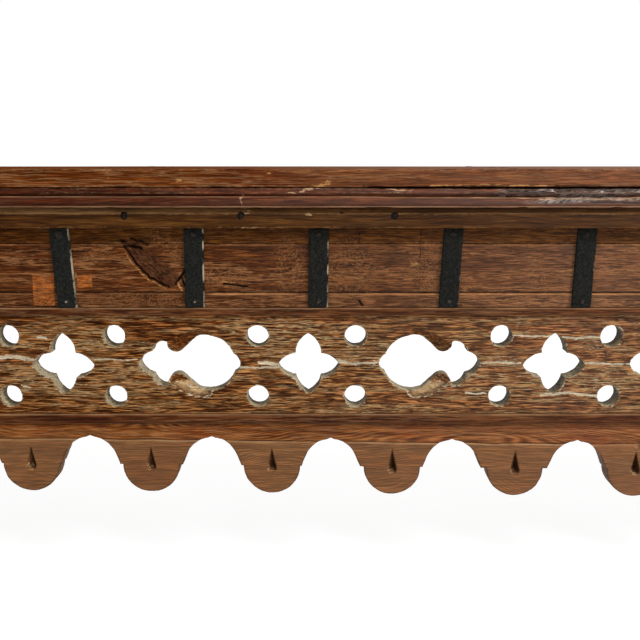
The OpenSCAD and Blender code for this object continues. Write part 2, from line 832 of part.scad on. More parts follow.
fret_moulding(apron_top, fret_bottom);  // lower_fret_moulding
scalloped_apron();
fret_dowels();
apron_dowels();
board_nails();
front_rail();
back_rail();
end_rail(-1);  // left_end_rail
end_rail(1);  // right_end_rail
front_leg(-1);  // front_left_leg
front_leg(1);  // front_right_leg
back_leg(-1);  // back_left_leg
back_leg(1);  // back_right_leg
seat_bearer(0);  // seat_bearer_01
seat_bearer(1);  // seat_bearer_02
seat_bearer(2);  // seat_bearer_03
seat_bearer(3);  // seat_bearer_04
tenon_pegs();
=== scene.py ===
import math
import bpy
import bmesh
import numpy as np
from mathutils.geometry import delaunay_2d_cdt
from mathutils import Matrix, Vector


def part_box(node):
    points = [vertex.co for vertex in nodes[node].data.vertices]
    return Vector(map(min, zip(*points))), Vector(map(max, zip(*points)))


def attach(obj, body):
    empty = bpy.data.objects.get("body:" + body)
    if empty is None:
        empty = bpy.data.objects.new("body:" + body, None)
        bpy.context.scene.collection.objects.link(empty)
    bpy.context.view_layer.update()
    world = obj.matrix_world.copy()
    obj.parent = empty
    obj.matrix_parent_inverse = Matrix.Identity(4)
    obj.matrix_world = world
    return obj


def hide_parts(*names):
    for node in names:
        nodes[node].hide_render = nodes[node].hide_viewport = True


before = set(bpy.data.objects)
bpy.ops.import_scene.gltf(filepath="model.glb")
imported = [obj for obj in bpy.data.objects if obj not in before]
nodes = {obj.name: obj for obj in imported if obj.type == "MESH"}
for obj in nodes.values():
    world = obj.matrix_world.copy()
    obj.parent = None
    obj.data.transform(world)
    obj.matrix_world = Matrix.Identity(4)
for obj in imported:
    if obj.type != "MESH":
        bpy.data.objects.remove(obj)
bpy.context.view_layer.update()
mm = 0.001

# Places taken from the frame: planes and levels of the front
seatLow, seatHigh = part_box("seat_plank_front")
friezeLow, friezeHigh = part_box("frieze_board")
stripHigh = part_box("frieze_bottom_strip")[1]
apronLow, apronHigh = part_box("scalloped_apron")
halfLength = seatHigh.x
halfFrame = friezeHigh.x
friezeFace = friezeLow.y
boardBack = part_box("fretwork_board")[1].y
foilLevel = 253.75 * mm      # middle of the quatrefoils
viewHalf = 0.372             # the part of the front that the camera sees, from the middle
rng = np.random.default_rng(7)
print("frame loaded")


# Numbers that look random but are fixed
def latticeNumber(ix, iy, iz, seed):
    # mixes three whole numbers into one fixed number from 0 to 1
    h = (ix * 73856093) ^ (iy * 19349663) ^ (iz * 83492791) ^ (seed * 668265263)
    h &= 0xffffffff
    h = ((h ^ (h >> 15)) * 1274126177) & 0xffffffff
    return ((h ^ (h >> 13)) & 0xffffff) / 0xffffff


def softNoise(points, cell, seed=0):
    # value noise from -1 to 1: the eight lattice numbers round a point, blended by t*t*(3-2t) along each axis
    q = np.asarray(points) / np.array(cell)
    low = np.floor(q).astype(np.int64)
    t = q - low
    t = t * t * (3 - 2 * t)
    total = np.zeros(q.shape[:-1])
    for dx in (0, 1):
        for dy in (0, 1):
            for dz in (0, 1):
                share = (np.abs(1 - dx - t[..., 0]) * np.abs(1 - dy - t[..., 1]) * np.abs(1 - dz - t[..., 2]))
                total += share * latticeNumber(low[..., 0] + dx, low[..., 1] + dy, low[..., 2] + dz, seed)
    return 2 * total - 1


def noiseShare(points, cell, seed):
    # the same noise from 0 to 1
    return 0.5 + 0.5 * softNoise(points, cell, seed)


def ramp(value, low, high):
    # 0 below low, 1 above high, and the curve t*t*(3-2t) between
    t = np.clip((value - low) / (high - low), 0, 1)
    return t * t * (3 - 2 * t)


def levelMark(value, level, half):
    # 1 at a level and a bell curve to both sides of it
    return np.exp(-((value - level) / half) ** 2)


# Old damage on the front, in millimetres along X and up Z
# cracks: a line of points, its width and its depth
cracks = {
    "knot edge": ([(-201, 391), (-197, 381), (-187, 365), (-171, 350), (-153, 341)], 1.7, 1.6),
    "knot top": ([(-202, 392), (-192, 386), (-182, 383)], 3.4, 2.0),
    "knot head": ([(-192, 394), (-183, 391), (-174, 387)], 2.0, 1.6),
    "fork by the strap": ([(-131, 364), (-139, 353), (-145, 344)], 2.6, 1.8),
    "fork's foot": ([(-139, 352), (-134, 341)], 1.8, 1.2),
    "eye crack": ([(-92, 345), (-82, 343.6), (-66, 341.5)], 2.4, 1.6),
    "low strip end": ([(57, 326), (62, 320)], 2.6, 0.8),
    "patch line": ([(-300, 318.8), (-262, 318.6)], 0.9, 0.6),
    "inset left": ([(57, 404), (57, 390)], 0.8, 0.4),
    "inset right": ([(124, 404), (123, 372)], 0.8, 0.4),
    "fascia dot": ([(36, 423.5), (38, 423)], 1.6, 0.6),
    "joint on the left": ([(-104, 450), (60, 450.1)], 0.8, 0.8),
    "joint in the middle": ([(60, 450.1), (168, 450)], 1.5, 1.5),
    "open joint": ([(168, 450), (190, 450.3), (212, 449.8)], 3.0, 2.0),
    "slot under the plank": ([(262, 450.6), (288, 450.8), (311, 450.2)], 2.4, 2.0),
    "joint on the right": ([(311, 450.2), (372, 450.8)], 1.3, 1.2),
    "under the torn lip": ([(205, 443.5), (238, 442.5), (262, 444)], 1.8, 1.2),
    "under the torn bead": ([(300, 434), (330, 434.5), (370, 433)], 1.8, 0.8),
}
# pale lines of raw wood, and along the torn bead's crest a painted highlight: points and width
rawLines = {
    "knot rim": ([(-199, 378), (-189, 363), (-172.5, 348), (-156, 339)], 1.0),
    "fork rim": ([(-143, 346), (-138, 338)], 2.4),
    "eye rim": ([(-93, 347), (-84, 345.8)], 1.8),
    "low strip arris": ([(-104, 334.8), (-8, 334.6)], 1.0),
    "scuff on the bead": ([(-66, 443), (-70, 438), (-67, 430), (-66, 426)], 1.5),
    "scuff under the fascia": ([(-70, 407), (-56, 406)], 1.0),
    "long lip scratch": ([(84, 448.5), (102, 447), (112, 447.4)], 0.9),
    "short lip scratch": ([(90, 445.6), (112, 445)], 0.8),
    "scratch on the edge": ([(-209, 469), (-209, 459)], 0.7),
    "painted highlight on the torn bead's crest": ([(246, 437.5), (275, 439.5), (320, 438.5), (372, 438)], 1.4),
    "worn arris": ([(130, 452), (176, 452.4), (214, 451.8), (252, 451.4)], 1.8),
    "splinter's body": ([(0, 447.6), (11, 450.6), (22, 454.6)], 2.8),
    "splinter's edge": ([(-19, 443.8), (-6, 446), (8, 450), (20, 453.5), (25, 456)], 1.6),
}
# places where raw wood shows: middle, half width, half height, turn in degrees
rawPlaces = {
    "splinter": (10, 450.5, 16, 2.6, 18),
    "splinter's head": (19, 454, 5, 3.4, 20),
    "spot on the fascia": (2, 421.3, 3.6, 2.2, 0),
    "over the peg": (-66, 423.4, 8, 2.2, 0),
    "specks on the edge": (-40, 464, 3.5, 3, 30),
    "pale specks on the edge": (-136, 457.5, 5, 2, 0),
    "orange knot": (118, 366, 7, 4, -20),
    "beside the patch": (-254, 354, 2.2, 3, 0),
}
# places with a rough, pitted figure
roughPlaces = {
    "by the third strap": (-19, 365, 17, 28, 0),
    "left of the inset": (48, 358, 26, 32, 0),
    "right of the inset": (132, 358, 20, 32, 0),
    "right field": (256, 348, 12, 14, 0),
    "right field low": (176, 345, 11, 8, 0),
    "low strip": (-188, 327, 52, 8, 0),
    "above the knot": (-150, 386, 30, 10, -30),
    "knot shadow": (-232, 377, 14, 10, 0),
    "beside the strap": (156, 343, 8, 12, 0),
    "between the joints": (-95, 352, 30, 12, 0),
}
# torn fibres on the cornice, their pale silver partly a painted highlight of glossy facets
tornPlaces = {
    "torn lip": (234, 446.6, 27, 3.6, 0),
    "torn bead": (284, 438.5, 44, 4.2, 4),
    "split end": (333, 447, 27, 3.6, 0),
    "lip on the right": (262, 447.6, 14, 2.6, 0),
    "bead on the right": (345, 438.4, 30, 2.0, 0),
}
# the lens-shaped knot beside the second strap
knotOutline = np.array([(-202, 390), (-197, 381), (-187, 365), (-171, 350), (-153, 341), (-144, 342),
                        (-140, 350), (-150, 364), (-164, 380), (-180, 390.5), (-194, 395)], float)
# the knot fades from its middle towards the upper right. All of it in mm, the direction as a unit vector
knotLook = {"middle": (-171, 367), "towards": (0.59, 0.81), "fadeOver": 16, "faded": 0.8, "soft": 1.5}
# the cornice's broken stretch: its middle, half length, and how much wood is gone
brokenPlaces = {
    "open joint": (150, 95, 1.6),
    "torn lip": (232, 30, 4.2),
    "broken lip": (305, 60, 4.6),
}
# how far the damage strays from its drawn place, how strong the raw places are, and how deep its pits, in mm
damageLook = {"strayX": 1.2, "strayZ": 0.8, "rawStrength": 0.72, "roughSoft": 0.45, "tornSoft": 0.4,
              "pitDepths": {"rough": 0.45, "knot": 0.8, "torn": 1.1}}


def segmentDistance(x, z, a, b):
    # distance from points to the straight line between a and b
    ax, az = a
    bx, bz = b
    t = np.clip(((x - ax) * (bx - ax) + (z - az) * (bz - az)) / ((bx - ax) ** 2 + (bz - az) ** 2), 0, 1)
    return np.hypot(x - ax - t * (bx - ax), z - az - t * (bz - az))


def lineDistance(x, z, line):
    # distance from points to a line of several straight parts
    return np.min([segmentDistance(x, z, a, b) for a, b in zip(line[:-1], line[1:])], axis=0)


def crackMarks(x, z):
    # how far each point lies in a crack, 0 to 1, and the crack's depth there in mm
    mark = np.zeros(x.shape)
    depth = np.zeros(x.shape)
    for line, width, deep in cracks.values():
        here = 1 - ramp(lineDistance(x, z, line), 0.25 * width, 0.75 * width)
        mark = np.maximum(mark, here)
        depth = np.maximum(depth, deep * here)
    return mark, depth


def lineMarks(x, z, lines):
    # 1 on each pale line, falling to 0 at its width
    mark = np.zeros(x.shape)
    for line, width in lines.values():
        mark = np.maximum(mark, 1 - ramp(lineDistance(x, z, line), 0.3 * width, 1.0 * width))
    return mark


def placeMarks(x, z, places, edge=0.35):
    # 1 inside each turned ellipse and 0 outside it, with a soft edge
    mark = np.zeros(x.shape)
    for cx, cz, halfX, halfZ, turn in places.values():
        c, s = math.cos(math.radians(turn)), math.sin(math.radians(turn))
        u = ((x - cx) * c + (z - cz) * s) / halfX
        v = ((z - cz) * c - (x - cx) * s) / halfZ
        mark = np.maximum(mark, 1 - ramp(np.hypot(u, v), 1 - edge, 1 + edge))
    return mark


def insideLine(points, line):
    # even-odd test: counts the sides of the closed line that a ray to the right of each point crosses
    inside = np.zeros(len(points), bool)
    low, high = line.min(0), line.max(0)
    near = np.all((points >= low) & (points <= high), axis=1)
    x, z = points[near, 0], points[near, 1]
    odd = np.zeros(len(x), bool)
    for (ax, az), (bx, bz) in zip(line, np.roll(line, -1, axis=0)):
        if az == bz:
            continue
        odd ^= ((az > z) != (bz > z)) & (x < (bx - ax) * (z - az) / (bz - az) + ax)
    inside[near] = odd
    return inside


def knotMark(x, z):
    # 1 inside the knot's outline, with a soft edge, fading out across it
    d = lineDistance(x, z, np.vstack([knotOutline, knotOutline[:1]]))
    inside = insideLine(np.stack([x.ravel(), z.ravel()], axis=1), knotOutline).reshape(x.shape)
    (middleX, middleZ), (towardsX, towardsZ) = knotLook["middle"], knotLook["towards"]
    across = towardsX * (x - middleX) + towardsZ * (z - middleZ)
    mark = ramp(np.where(inside, d, -d), -knotLook["soft"], knotLook["soft"])
    return mark * (1 - knotLook["faded"] * ramp(across, 0, knotLook["fadeOver"]))


def brokenMark(x):
    # how much of the cornice's upper edge is gone at x, in mm
    gone = np.zeros(x.shape)
    for middle, half, loss in brokenPlaces.values():
        gone = np.maximum(gone, loss * (1 - ramp(np.abs(x - middle), 0.55 * half, half)))
    return gone


def frontMarks(points, front):
    # the marks of all the damage at the points that lie on the front, front being 1 there, and its depth
    x = points[..., 0] / mm
    z = points[..., 2] / mm
    place = np.stack([x, 0 * x, z], axis=-1)
    x = x + damageLook["strayX"] * softNoise(place, (7, 1, 5), 21)
    z = z + damageLook["strayZ"] * softNoise(place, (6, 1, 4), 22)
    crack, depth = crackMarks(x, z)
    rawSpots = damageLook["rawStrength"] * placeMarks(x, z, rawPlaces)
    marks = {
        "crack": crack,
        "raw": np.maximum(rawSpots, lineMarks(x, z, rawLines)),
        "rough": placeMarks(x, z, roughPlaces, damageLook["roughSoft"]),
        "torn": placeMarks(x, z, tornPlaces, damageLook["tornSoft"]),
        "knot": knotMark(x, z),
    }
    pitted = sum(deep * marks[key] for key, deep in damageLook["pitDepths"].items())
    depth = depth + pitted * noiseShare(place, (4.5, 1, 3), 23)
    return {key: mark * front for key, mark in marks.items()}, depth * mm * front


def addMarks(marks, more):
    # lays more marks over the first ones: the stronger mark counts
    for key, values in more.items():
        marks[key] = np.maximum(marks.get(key, 0), values)


# Mesh helpers
def addObject(name, data):
    # puts a mesh, a lamp or a camera into the scene
    item = bpy.data.objects.new(name, data)
    bpy.context.scene.collection.objects.link(item)
    return item


def makePiece(name, points, faces, marks, smoothAngle=38):
    # a mesh piece. Its marks are point attributes, and edges sharper than the angle stay sharp
    mesh = bpy.data.meshes.new(name)
    mesh.from_pydata(np.asarray(points).tolist(), [], faces)
    for key, values in marks.items():
        layer = mesh.attributes.new(key, "FLOAT", "POINT")
        layer.data.foreach_set("value", np.ascontiguousarray(values, dtype=np.float32))
    mesh.validate()
    mesh.shade_smooth()
    mesh.set_sharp_from_angle(angle=math.radians(smoothAngle))
    return addObject(name, mesh)


def mergedCopy(mesh, reach=1e-6):
    # a copy of a mesh, with the points that lie within the reach of one another made one
    work = bmesh.new()
    work.from_mesh(mesh)
    bmesh.ops.remove_doubles(work, verts=work.verts, dist=reach)
    return work


def settle(piece, node, slot, finish=None):
    # gives a piece its finish, and lets it stand for a CAD node
    piece.data.materials.clear()
    piece.data.materials.append(materials[finish or slot])
    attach(piece, "root")
    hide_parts(node)


def inMm(*values):
    # a list of millimetres, turned into metres
    return [value * mm for value in values]


def boxCorners(low, high):
    # the corners of a box in Y and Z, from the top back one round the front
    return [(high.y, high.z), (low.y, high.z), (low.y, low.z), (high.y, low.z)]


def roundedSection(corners, radii, steps, arcStep=0.5 * mm):
    # closed outline: each corner is an arc of its radius that touches both sides, the sides are cut into
    # steps. Returns its points, and how close each is to a rounded corner that stands out
    corners = np.array(corners, float)
    count = len(corners)
    points = []
    edge = []

    def corner(i):
        # the directions from a corner along both its sides, the angle between them, and how far its arc
        # reaches
        before, here, after = corners[i - 1], corners[i], corners[(i + 1) % count]
        u = (before - here) / np.linalg.norm(before - here)
        v = (after - here) / np.linalg.norm(after - here)
        turn = math.acos(np.clip(np.dot(u, v), -1, 1))
        return u, v, turn, radii[i] / math.tan(turn / 2) if radii[i] else 0

    for i in range(count):
        here, r = corners[i], radii[i]
        u, v, turn, reach = corner(i)
        outward = (u[0] * v[1] - u[1] * v[0]) < 0
        start, end = here + u * reach, here + v * reach
        arc = here[None, :]
        if r:
            middle = (u + v) / np.linalg.norm(u + v) * (r / math.sin(turn / 2))
            firstAngle = math.atan2(*(start - here - middle)[::-1])
            sweep = math.pi - turn
            sign = 1 if outward else -1
            angles = firstAngle + sign * np.linspace(0, sweep, max(3, int(sweep * r / arcStep) + 2))
            arc = here + middle + r * np.stack([np.cos(angles), np.sin(angles)], axis=1)
        points.append(arc)
        edge.append(np.full(len(arc), 1.0 if outward else 0.0))
        following = (i + 1) % count
        side = corners[following] - v * corner(following)[3] - end
        n = int(np.linalg.norm(side) / steps[i])
        if n > 0:
            t = np.arange(1, n + 1) / (n + 1)
            points.append(end + t[:, None] * side)
            near = np.minimum(t, 1 - t) * np.linalg.norm(side)
            edge.append(0.7 * (1 - ramp(near, 0.3 * mm, 2.2 * mm)) * (1.0 if outward else 0.3))
    return np.concatenate(points), np.concatenate(edge)


def closedNormals(points):
    # outward normals of a closed outline that runs counter-clockwise
    along = np.roll(points, -1, axis=0) - np.roll(points, 1, axis=0)
    normal = np.stack([along[:, 1], -along[:, 0]], axis=1)
    return normal / np.maximum(np.linalg.norm(normal, axis=1), 1e-9)[:, None]


def facingFront(normal):
    # 1 where a section faces the front, 0 where it faces up, down or back
    return np.clip(-normal[:, 0], 0, 1)


def stationsAlong(half, fine, coarse):
    # places along X: close together where the camera looks, wider apart towards both ends
    middle = np.arange(-viewHalf, viewHalf + fine, fine)
    side = np.linspace(viewHalf + coarse, half, int((half - viewHalf) / coarse))
    return np.concatenate([-side[::-1], middle, side]) / half


# wear: the cells of its long waves, of the nicks along edges and of the small chips, in metres
wearLook = {"wave": (0.09, 0.05, 0.02), "nick": (0.011, 0.006, 0.006), "chip": (0.004, 0.003, 0.003)}


def wornDepth(points, edge, amount, seed):
    # how much wood is worn away: a long gentle wave everywhere, and nicks and chips along the edges
    wave = noiseShare(points, wearLook["wave"], seed)
    nicks = ramp(softNoise(points, wearLook["nick"], seed + 1), 0.25, 0.95)
    nicks += 0.5 * ramp(softNoise(points, wearLook["chip"], seed + 2), 0.3, 0.9)
    return amount * (0.25 * wave + edge * (0.35 + 1.3 * nicks))


def ringQuads(rows, columns, first=0):
    # the quads between neighbouring rows of points. Each row is closed, and first is the first point's number
    i, j = np.meshgrid(np.arange(rows - 1), np.arange(columns), indexing="ij")
    a = first + i * columns + j
    b = first + i * columns + (j + 1) % columns
    return np.stack([a, b, b + columns, a + columns], axis=-1).reshape(-1, 4)


def tubeFaces(rows, columns, turned=False):
    # the faces of a closed section carried along a path, with both ends. Turned ones face the other way
    quads = ringQuads(rows, columns)
    ends = [list(range(columns))[::-1], list(range((rows - 1) * columns, rows * columns))]
    if turned:
        return quads[:, [0, 3, 2, 1]].tolist() + [end[::-1] for end in ends]
    return quads.tolist() + ends


def runAlongX(name, section, edge, half, wear, seed, carve, mitre=0, fine=1.0 * mm, coarse=7 * mm):
    # a closed section in Y and Z carried along X. Its ends are mitred where mitre is 1: the reach in X grows
    # with the distance in front of the frieze. Carve gives more depth and marks at the points
    reach = half + mitre * np.maximum(friezeFace - section[:, 0], 0)
    x = stationsAlong(half, fine, coarse)[:, None] * reach[None, :]
    points = np.stack([x, section[:, 0] + 0 * x, section[:, 1] + 0 * x], axis=-1)
    normal = closedNormals(section)
    edge = np.broadcast_to(edge, x.shape)
    inView = (x > -viewHalf) * (x < viewHalf)
    marks, grooves = frontMarks(points, facingFront(normal) ** 0.5 * inView)
    carved, carvedMarks = carve(points, normal)
    depth = wornDepth(points, edge, wear, seed) + grooves + carved
    addMarks(marks, carvedMarks)
    points[..., 1] -= normal[:, 0] * depth
    points[..., 2] -= normal[:, 1] * depth
    marks["wear"] = edge * (0.55 + 0.45 * softNoise(points, (0.03, 0.01, 0.01), seed + 5))
    flat = {key: values.reshape(-1) for key, values in marks.items()}
    return makePiece(name, points.reshape(-1, 3), tubeFaces(*x.shape, turned=True), flat)


# Materials
def screen(colour):
    # a colour as it is seen on a screen, 0 to 255, turned into the linear numbers that shaders use
    c = np.array(colour) / 255
    c = np.where(c <= 0.04045, c / 12.92, ((c + 0.055) / 1.055) ** 2.4)
    return (float(c[0]), float(c[1]), float(c[2]), 1.0)


def feed(tree, target, value):
    # links a socket to an input, or writes a plain value into it
    if isinstance(value, bpy.types.NodeSocket):
        tree.links.new(value, target)
    else:
        target.default_value = value


def addNode(tree, kind, inputs=None, **settings):
    # adds a node, with its settings, and links or writes its inputs
    node = tree.nodes.new(kind)
    for key, value in settings.items():
        setattr(node, key, value)
    for key, value in (inputs or {}).items():
        feed(tree, node.inputs[key], value)
    return node


def mixColours(tree, amount, first, second, blend="MIX"):
    # a colour is a socket, or three numbers as they are seen on a screen
    node = addNode(tree, "ShaderNodeMix", {0: amount}, data_type="RGBA", blend_type=blend)
    for index, colour in ((6, first), (7, second)):
        feed(tree, node.inputs[index], screen(colour) if isinstance(colour, tuple) else colour)
    return node.outputs[2]


def mathNode(tree, operation, first, second=0.0, third=0.0, clamp=False):
    # one step of arithmetic on up to three values, such as first * second + third
    inputs = {0: first, 1: second, 2: third}
    return addNode(tree, "ShaderNodeMath", inputs, operation=operation, use_clamp=clamp).outputs[0]


def vectorNode(tree, operation, inputs):
    # one step of arithmetic on vectors
    return addNode(tree, "ShaderNodeVectorMath", inputs, operation=operation).outputs[0]


def spread(tree, value, low, high, toLow=0.0, toHigh=1.0):
    # maps low..high to toLow..toHigh, clamped
    limits = {"Value": value, "From Min": low, "From Max": high, "To Min": toLow, "To Max": toHigh}
    return addNode(tree, "ShaderNodeMapRange", limits).outputs["Result"]


def noiseNode(tree, place, scale, detail, roughness=0.5, output="Fac"):
    # soft noise round a half, with finer noise laid over it as often as the detail says
    inputs = {"Vector": place, "Scale": scale, "Detail": detail, "Roughness": roughness}
    return addNode(tree, "ShaderNodeTexNoise", inputs).outputs[output]


def meshMark(tree, name):
    # a mark that the mesh's points carry, such as wear
    return addNode(tree, "ShaderNodeAttribute", attribute_name=name).outputs["Fac"]


def hairlines(tree, noise, width):
    # thin curved lines along the level of a half: 1 where the noise is 0.5, 0 where it is off by the width
    off = mathNode(tree, "ABSOLUTE", mathNode(tree, "SUBTRACT", noise, 0.5))
    return spread(tree, off, 0.0, width, 1.0, 0.0)


def newGroup(name, inputs):
    # an empty node group with its inputs. Returns its tree and the node that gives what comes in
    tree = bpy.data.node_groups.new(name, "ShaderNodeTree")
    for label, kind in inputs.items():
        tree.interface.new_socket(label, in_out="INPUT", socket_type=kind)
    return tree, tree.nodes.new("NodeGroupInput")


def giveOut(tree, made):
    # makes one output of a group for each thing it has made
    for label in made:
        tree.interface.new_socket(label, in_out="OUTPUT", socket_type="NodeSocketFloat")
    result = tree.nodes.new("NodeGroupOutput")
    for label, socket in made.items():
        tree.links.new(socket, result.inputs[label])


# grain: two waves that bend it (scale, reach in metres), then each noise's scale, detail, offset and how
# many times shorter it is along the grain. Growth lines: radians a metre of height, and how far the bend
# pushes them
grainLook = {"waves": ((14.0, 0.014), (75.0, 0.0022)), "roughness": 0.6, "hairline": 0.05,
             "tone": (48.0, 3.0, 0.0, 1.0), "streaks": (250.0, 3.0, 0.31, 1.0),
             "fibres": (430.0, 1.0, 0.57, 1.3), "bend": (13.0, 2.0, 0.21, 4.5),
             "strength": (38.0, 2.0, 0.91, 1.5), "patches": (60.0, 2.0, 0.77, 1.0),
             "wisps": (240.0, 4.0, 0.83, 1.0), "pores": (290.0, 4.0, 1.13, 1.0), "lineRate": 2200.0,
             "linePush": 230.0}


def makeGrainGroup():
    # wood grain along the first axis, bent by two slow waves: broad tone, streaks, short fibres and the
    # growth lines of the figure, each 0 to 1 round a half, pale and dark hairlines, and the height of the
    # grain
    tree, given = newGroup("wood grain", {"Position": "NodeSocketVector", "Stretch": "NodeSocketFloat",
                                          "Size": "NodeSocketFloat"})
    parts = addNode(tree, "ShaderNodeSeparateXYZ", {0: given.outputs["Position"]}).outputs
    shortX = mathNode(tree, "MULTIPLY", parts[0], given.outputs["Stretch"])
    along = addNode(tree, "ShaderNodeCombineXYZ", {0: shortX, 1: parts[1], 2: parts[2]}).outputs[0]
    place = along
    for scale, reach in grainLook["waves"]:
        wave = noiseNode(tree, along, scale, 2.0, output="Color")
        shift = vectorNode(tree, "MULTIPLY", {0: wave, 1: (0.0, reach, reach)})
        place = vectorNode(tree, "ADD", {0: place, 1: shift})
    sized = vectorNode(tree, "SCALE", {0: place, "Scale": given.outputs["Size"]})

    def noise(key):
        # one of the look's noises, read from the bent place, moved aside and shortened along the grain
        scale, detail, offset, shorter = grainLook[key]
        moved = vectorNode(tree, "MULTIPLY_ADD", {0: sized, 1: (shorter, 1, 1), 2: (offset, offset, 0)})
        return noiseNode(tree, moved, scale, detail, grainLook["roughness"])

    made = {
        "Tone": spread(tree, noise("tone"), 0.36, 0.64),
        "Streaks": spread(tree, noise("streaks"), 0.36, 0.64),
        "Fibres": spread(tree, noise("fibres"), 0.42, 0.58),
    }
    # growth lines: the sine of the height, pushed up and down by a slow noise. They are stronger in places
    height = addNode(tree, "ShaderNodeSeparateXYZ", {0: sized}).outputs[2]
    push = mathNode(tree, "MULTIPLY", noise("bend"), grainLook["linePush"])
    phase = mathNode(tree, "MULTIPLY_ADD", height, grainLook["lineRate"], push)
    strength = spread(tree, noise("strength"), 0.4, 0.62, 0.2, 0.6)
    made["Figure"] = mathNode(tree, "MULTIPLY_ADD", mathNode(tree, "SINE", phase), strength, 0.5)
    # pale wisps that fade out in patches, and dark pores
    patches = spread(tree, noise("patches"), 0.42, 0.56)
    wisps = mathNode(tree, "MULTIPLY", hairlines(tree, noise("wisps"), grainLook["hairline"]), patches)
    pores = hairlines(tree, noise("pores"), grainLook["hairline"])
    made.update(Wisps=wisps, Pores=pores)
    # the height is 0.5 * streaks + 0.6 * fibres + 0.6 * (wisps - pores)
    raised = mathNode(tree, "MULTIPLY", mathNode(tree, "SUBTRACT", wisps, pores), 0.6)
    fine = mathNode(tree, "MULTIPLY_ADD", made["Fibres"], 0.6, raised)
    made["Height"] = mathNode(tree, "MULTIPLY_ADD", made["Streaks"], 0.5, fine)
    giveOut(tree, made)
    return tree


# noises that break the marks up: scale, detail, stretch along the grain, and turn in degrees
marksLook = {"roughness": 0.65, "curlWidth": 0.033, "threads": (520.0, 4.0, 0.3, 0),
             "lines": (90.0, 3.0, 0.3, 0), "curls": (280.0, 4.0, 0.5, 10), "hollows": (330.0, 3.0, 0.5, 0),
             "wrinkles": (520.0, 4.0, 0.2, -44), "shreds": (420.0, 4.0, 0.25, 24)}


def makeMarksGroup():
    # what the surface has been through, and the painted highlights, painted wall light and painted shade that
    # the mesh also carries, read from the mesh and broken up by fibres, so that edges are ragged
    tree, given = newGroup("old marks", {"Position": "NodeSocketVector"})

    def noise(key):
        # one of the look's noises, turned and then stretched along the grain
        scale, detail, stretch, turn = marksLook[key]
        place = addNode(tree, "ShaderNodeMapping", {"Vector": given.outputs["Position"],
                                                    "Rotation": (0, math.radians(turn), 0)}).outputs[0]
        longer = vectorNode(tree, "MULTIPLY", {0: place, 1: (stretch, 1, 1)})
        return noiseNode(tree, longer, scale, detail, marksLook["roughness"])

    def broken(amount, low, high):
        # a mark that shows on more of the threads the stronger it is: 0.55 * mark + 0.6 * threads, low to
        # high
        total = mathNode(tree, "MULTIPLY_ADD", amount, 0.55, mathNode(tree, "MULTIPLY", threads, 0.6))
        return spread(tree, total, low, high)

    threads = spread(tree, noise("threads"), 0.36, 0.64)
    uneven = spread(tree, noise("lines"), 0.35, 0.6, 0.45, 1.0)
    hollows = spread(tree, noise("hollows"), 0.38, 0.26)
    curls = hairlines(tree, noise("curls"), marksLook["curlWidth"])
    rough = meshMark(tree, "rough")
    giveOut(tree, {
        "Wear": broken(meshMark(tree, "wear"), 0.6, 0.95),
        # painted highlights along arrises and on faces turned to the light, broken up along their length
        "Line": mathNode(tree, "MULTIPLY", meshMark(tree, "line"), uneven),
        "Raw": broken(meshMark(tree, "raw"), 0.62, 0.82),
        "Crack": meshMark(tree, "crack"),
        "Pits": mathNode(tree, "MULTIPLY", hollows, rough),
        "Specks": mathNode(tree, "MULTIPLY", curls, rough),
        "Wall": meshMark(tree, "wall"),
        "Knot": meshMark(tree, "knot"),
        "Wrinkles": spread(tree, noise("wrinkles"), 0.42, 0.6),
        "Torn": meshMark(tree, "torn"),
        "Shreds": spread(tree, noise("shreds"), 0.4, 0.6),
    })
    return tree


grainGroup = makeGrainGroup()
marksGroup = makeMarksGroup()

# what every wood shares: the colour of the painted sheen, a painted reflection that pales the wood towards
# the right, of the knot's and the torn wood's dark and pale fibres, the torn wood's pale silver being partly
# a painted highlight, and of cracks, which on the apron also carry painted shade, how strongly each mark
# covers the wood, the highlight share being that of the painted highlights, and where along X the painted
# sheen and coat begin and end, in metres
oldWood = {"paintedSheen": (214, 172, 144), "knot": ((14, 8, 5), (122, 74, 48)),
           "torn": ((44, 28, 22), (186, 168, 156)), "crack": (9, 6, 5), "highlightShare": 0.9, "pitShare": 0.6,
           "speckShare": 0.7, "knotShare": 0.8, "tornShare": 0.9, "rawShare": 0.85, "crackShare": 0.96,
           "paintedSheenReach": (-0.12, 0.3), "coatReach": (-0.2, 0.3), "coatRoughness": 0.27, "bumpReach": 0.0014}


def newMaterial(name):
    # a material and its node tree
    material = bpy.data.materials.new(name)
    material.use_nodes = True
    return material, material.node_tree


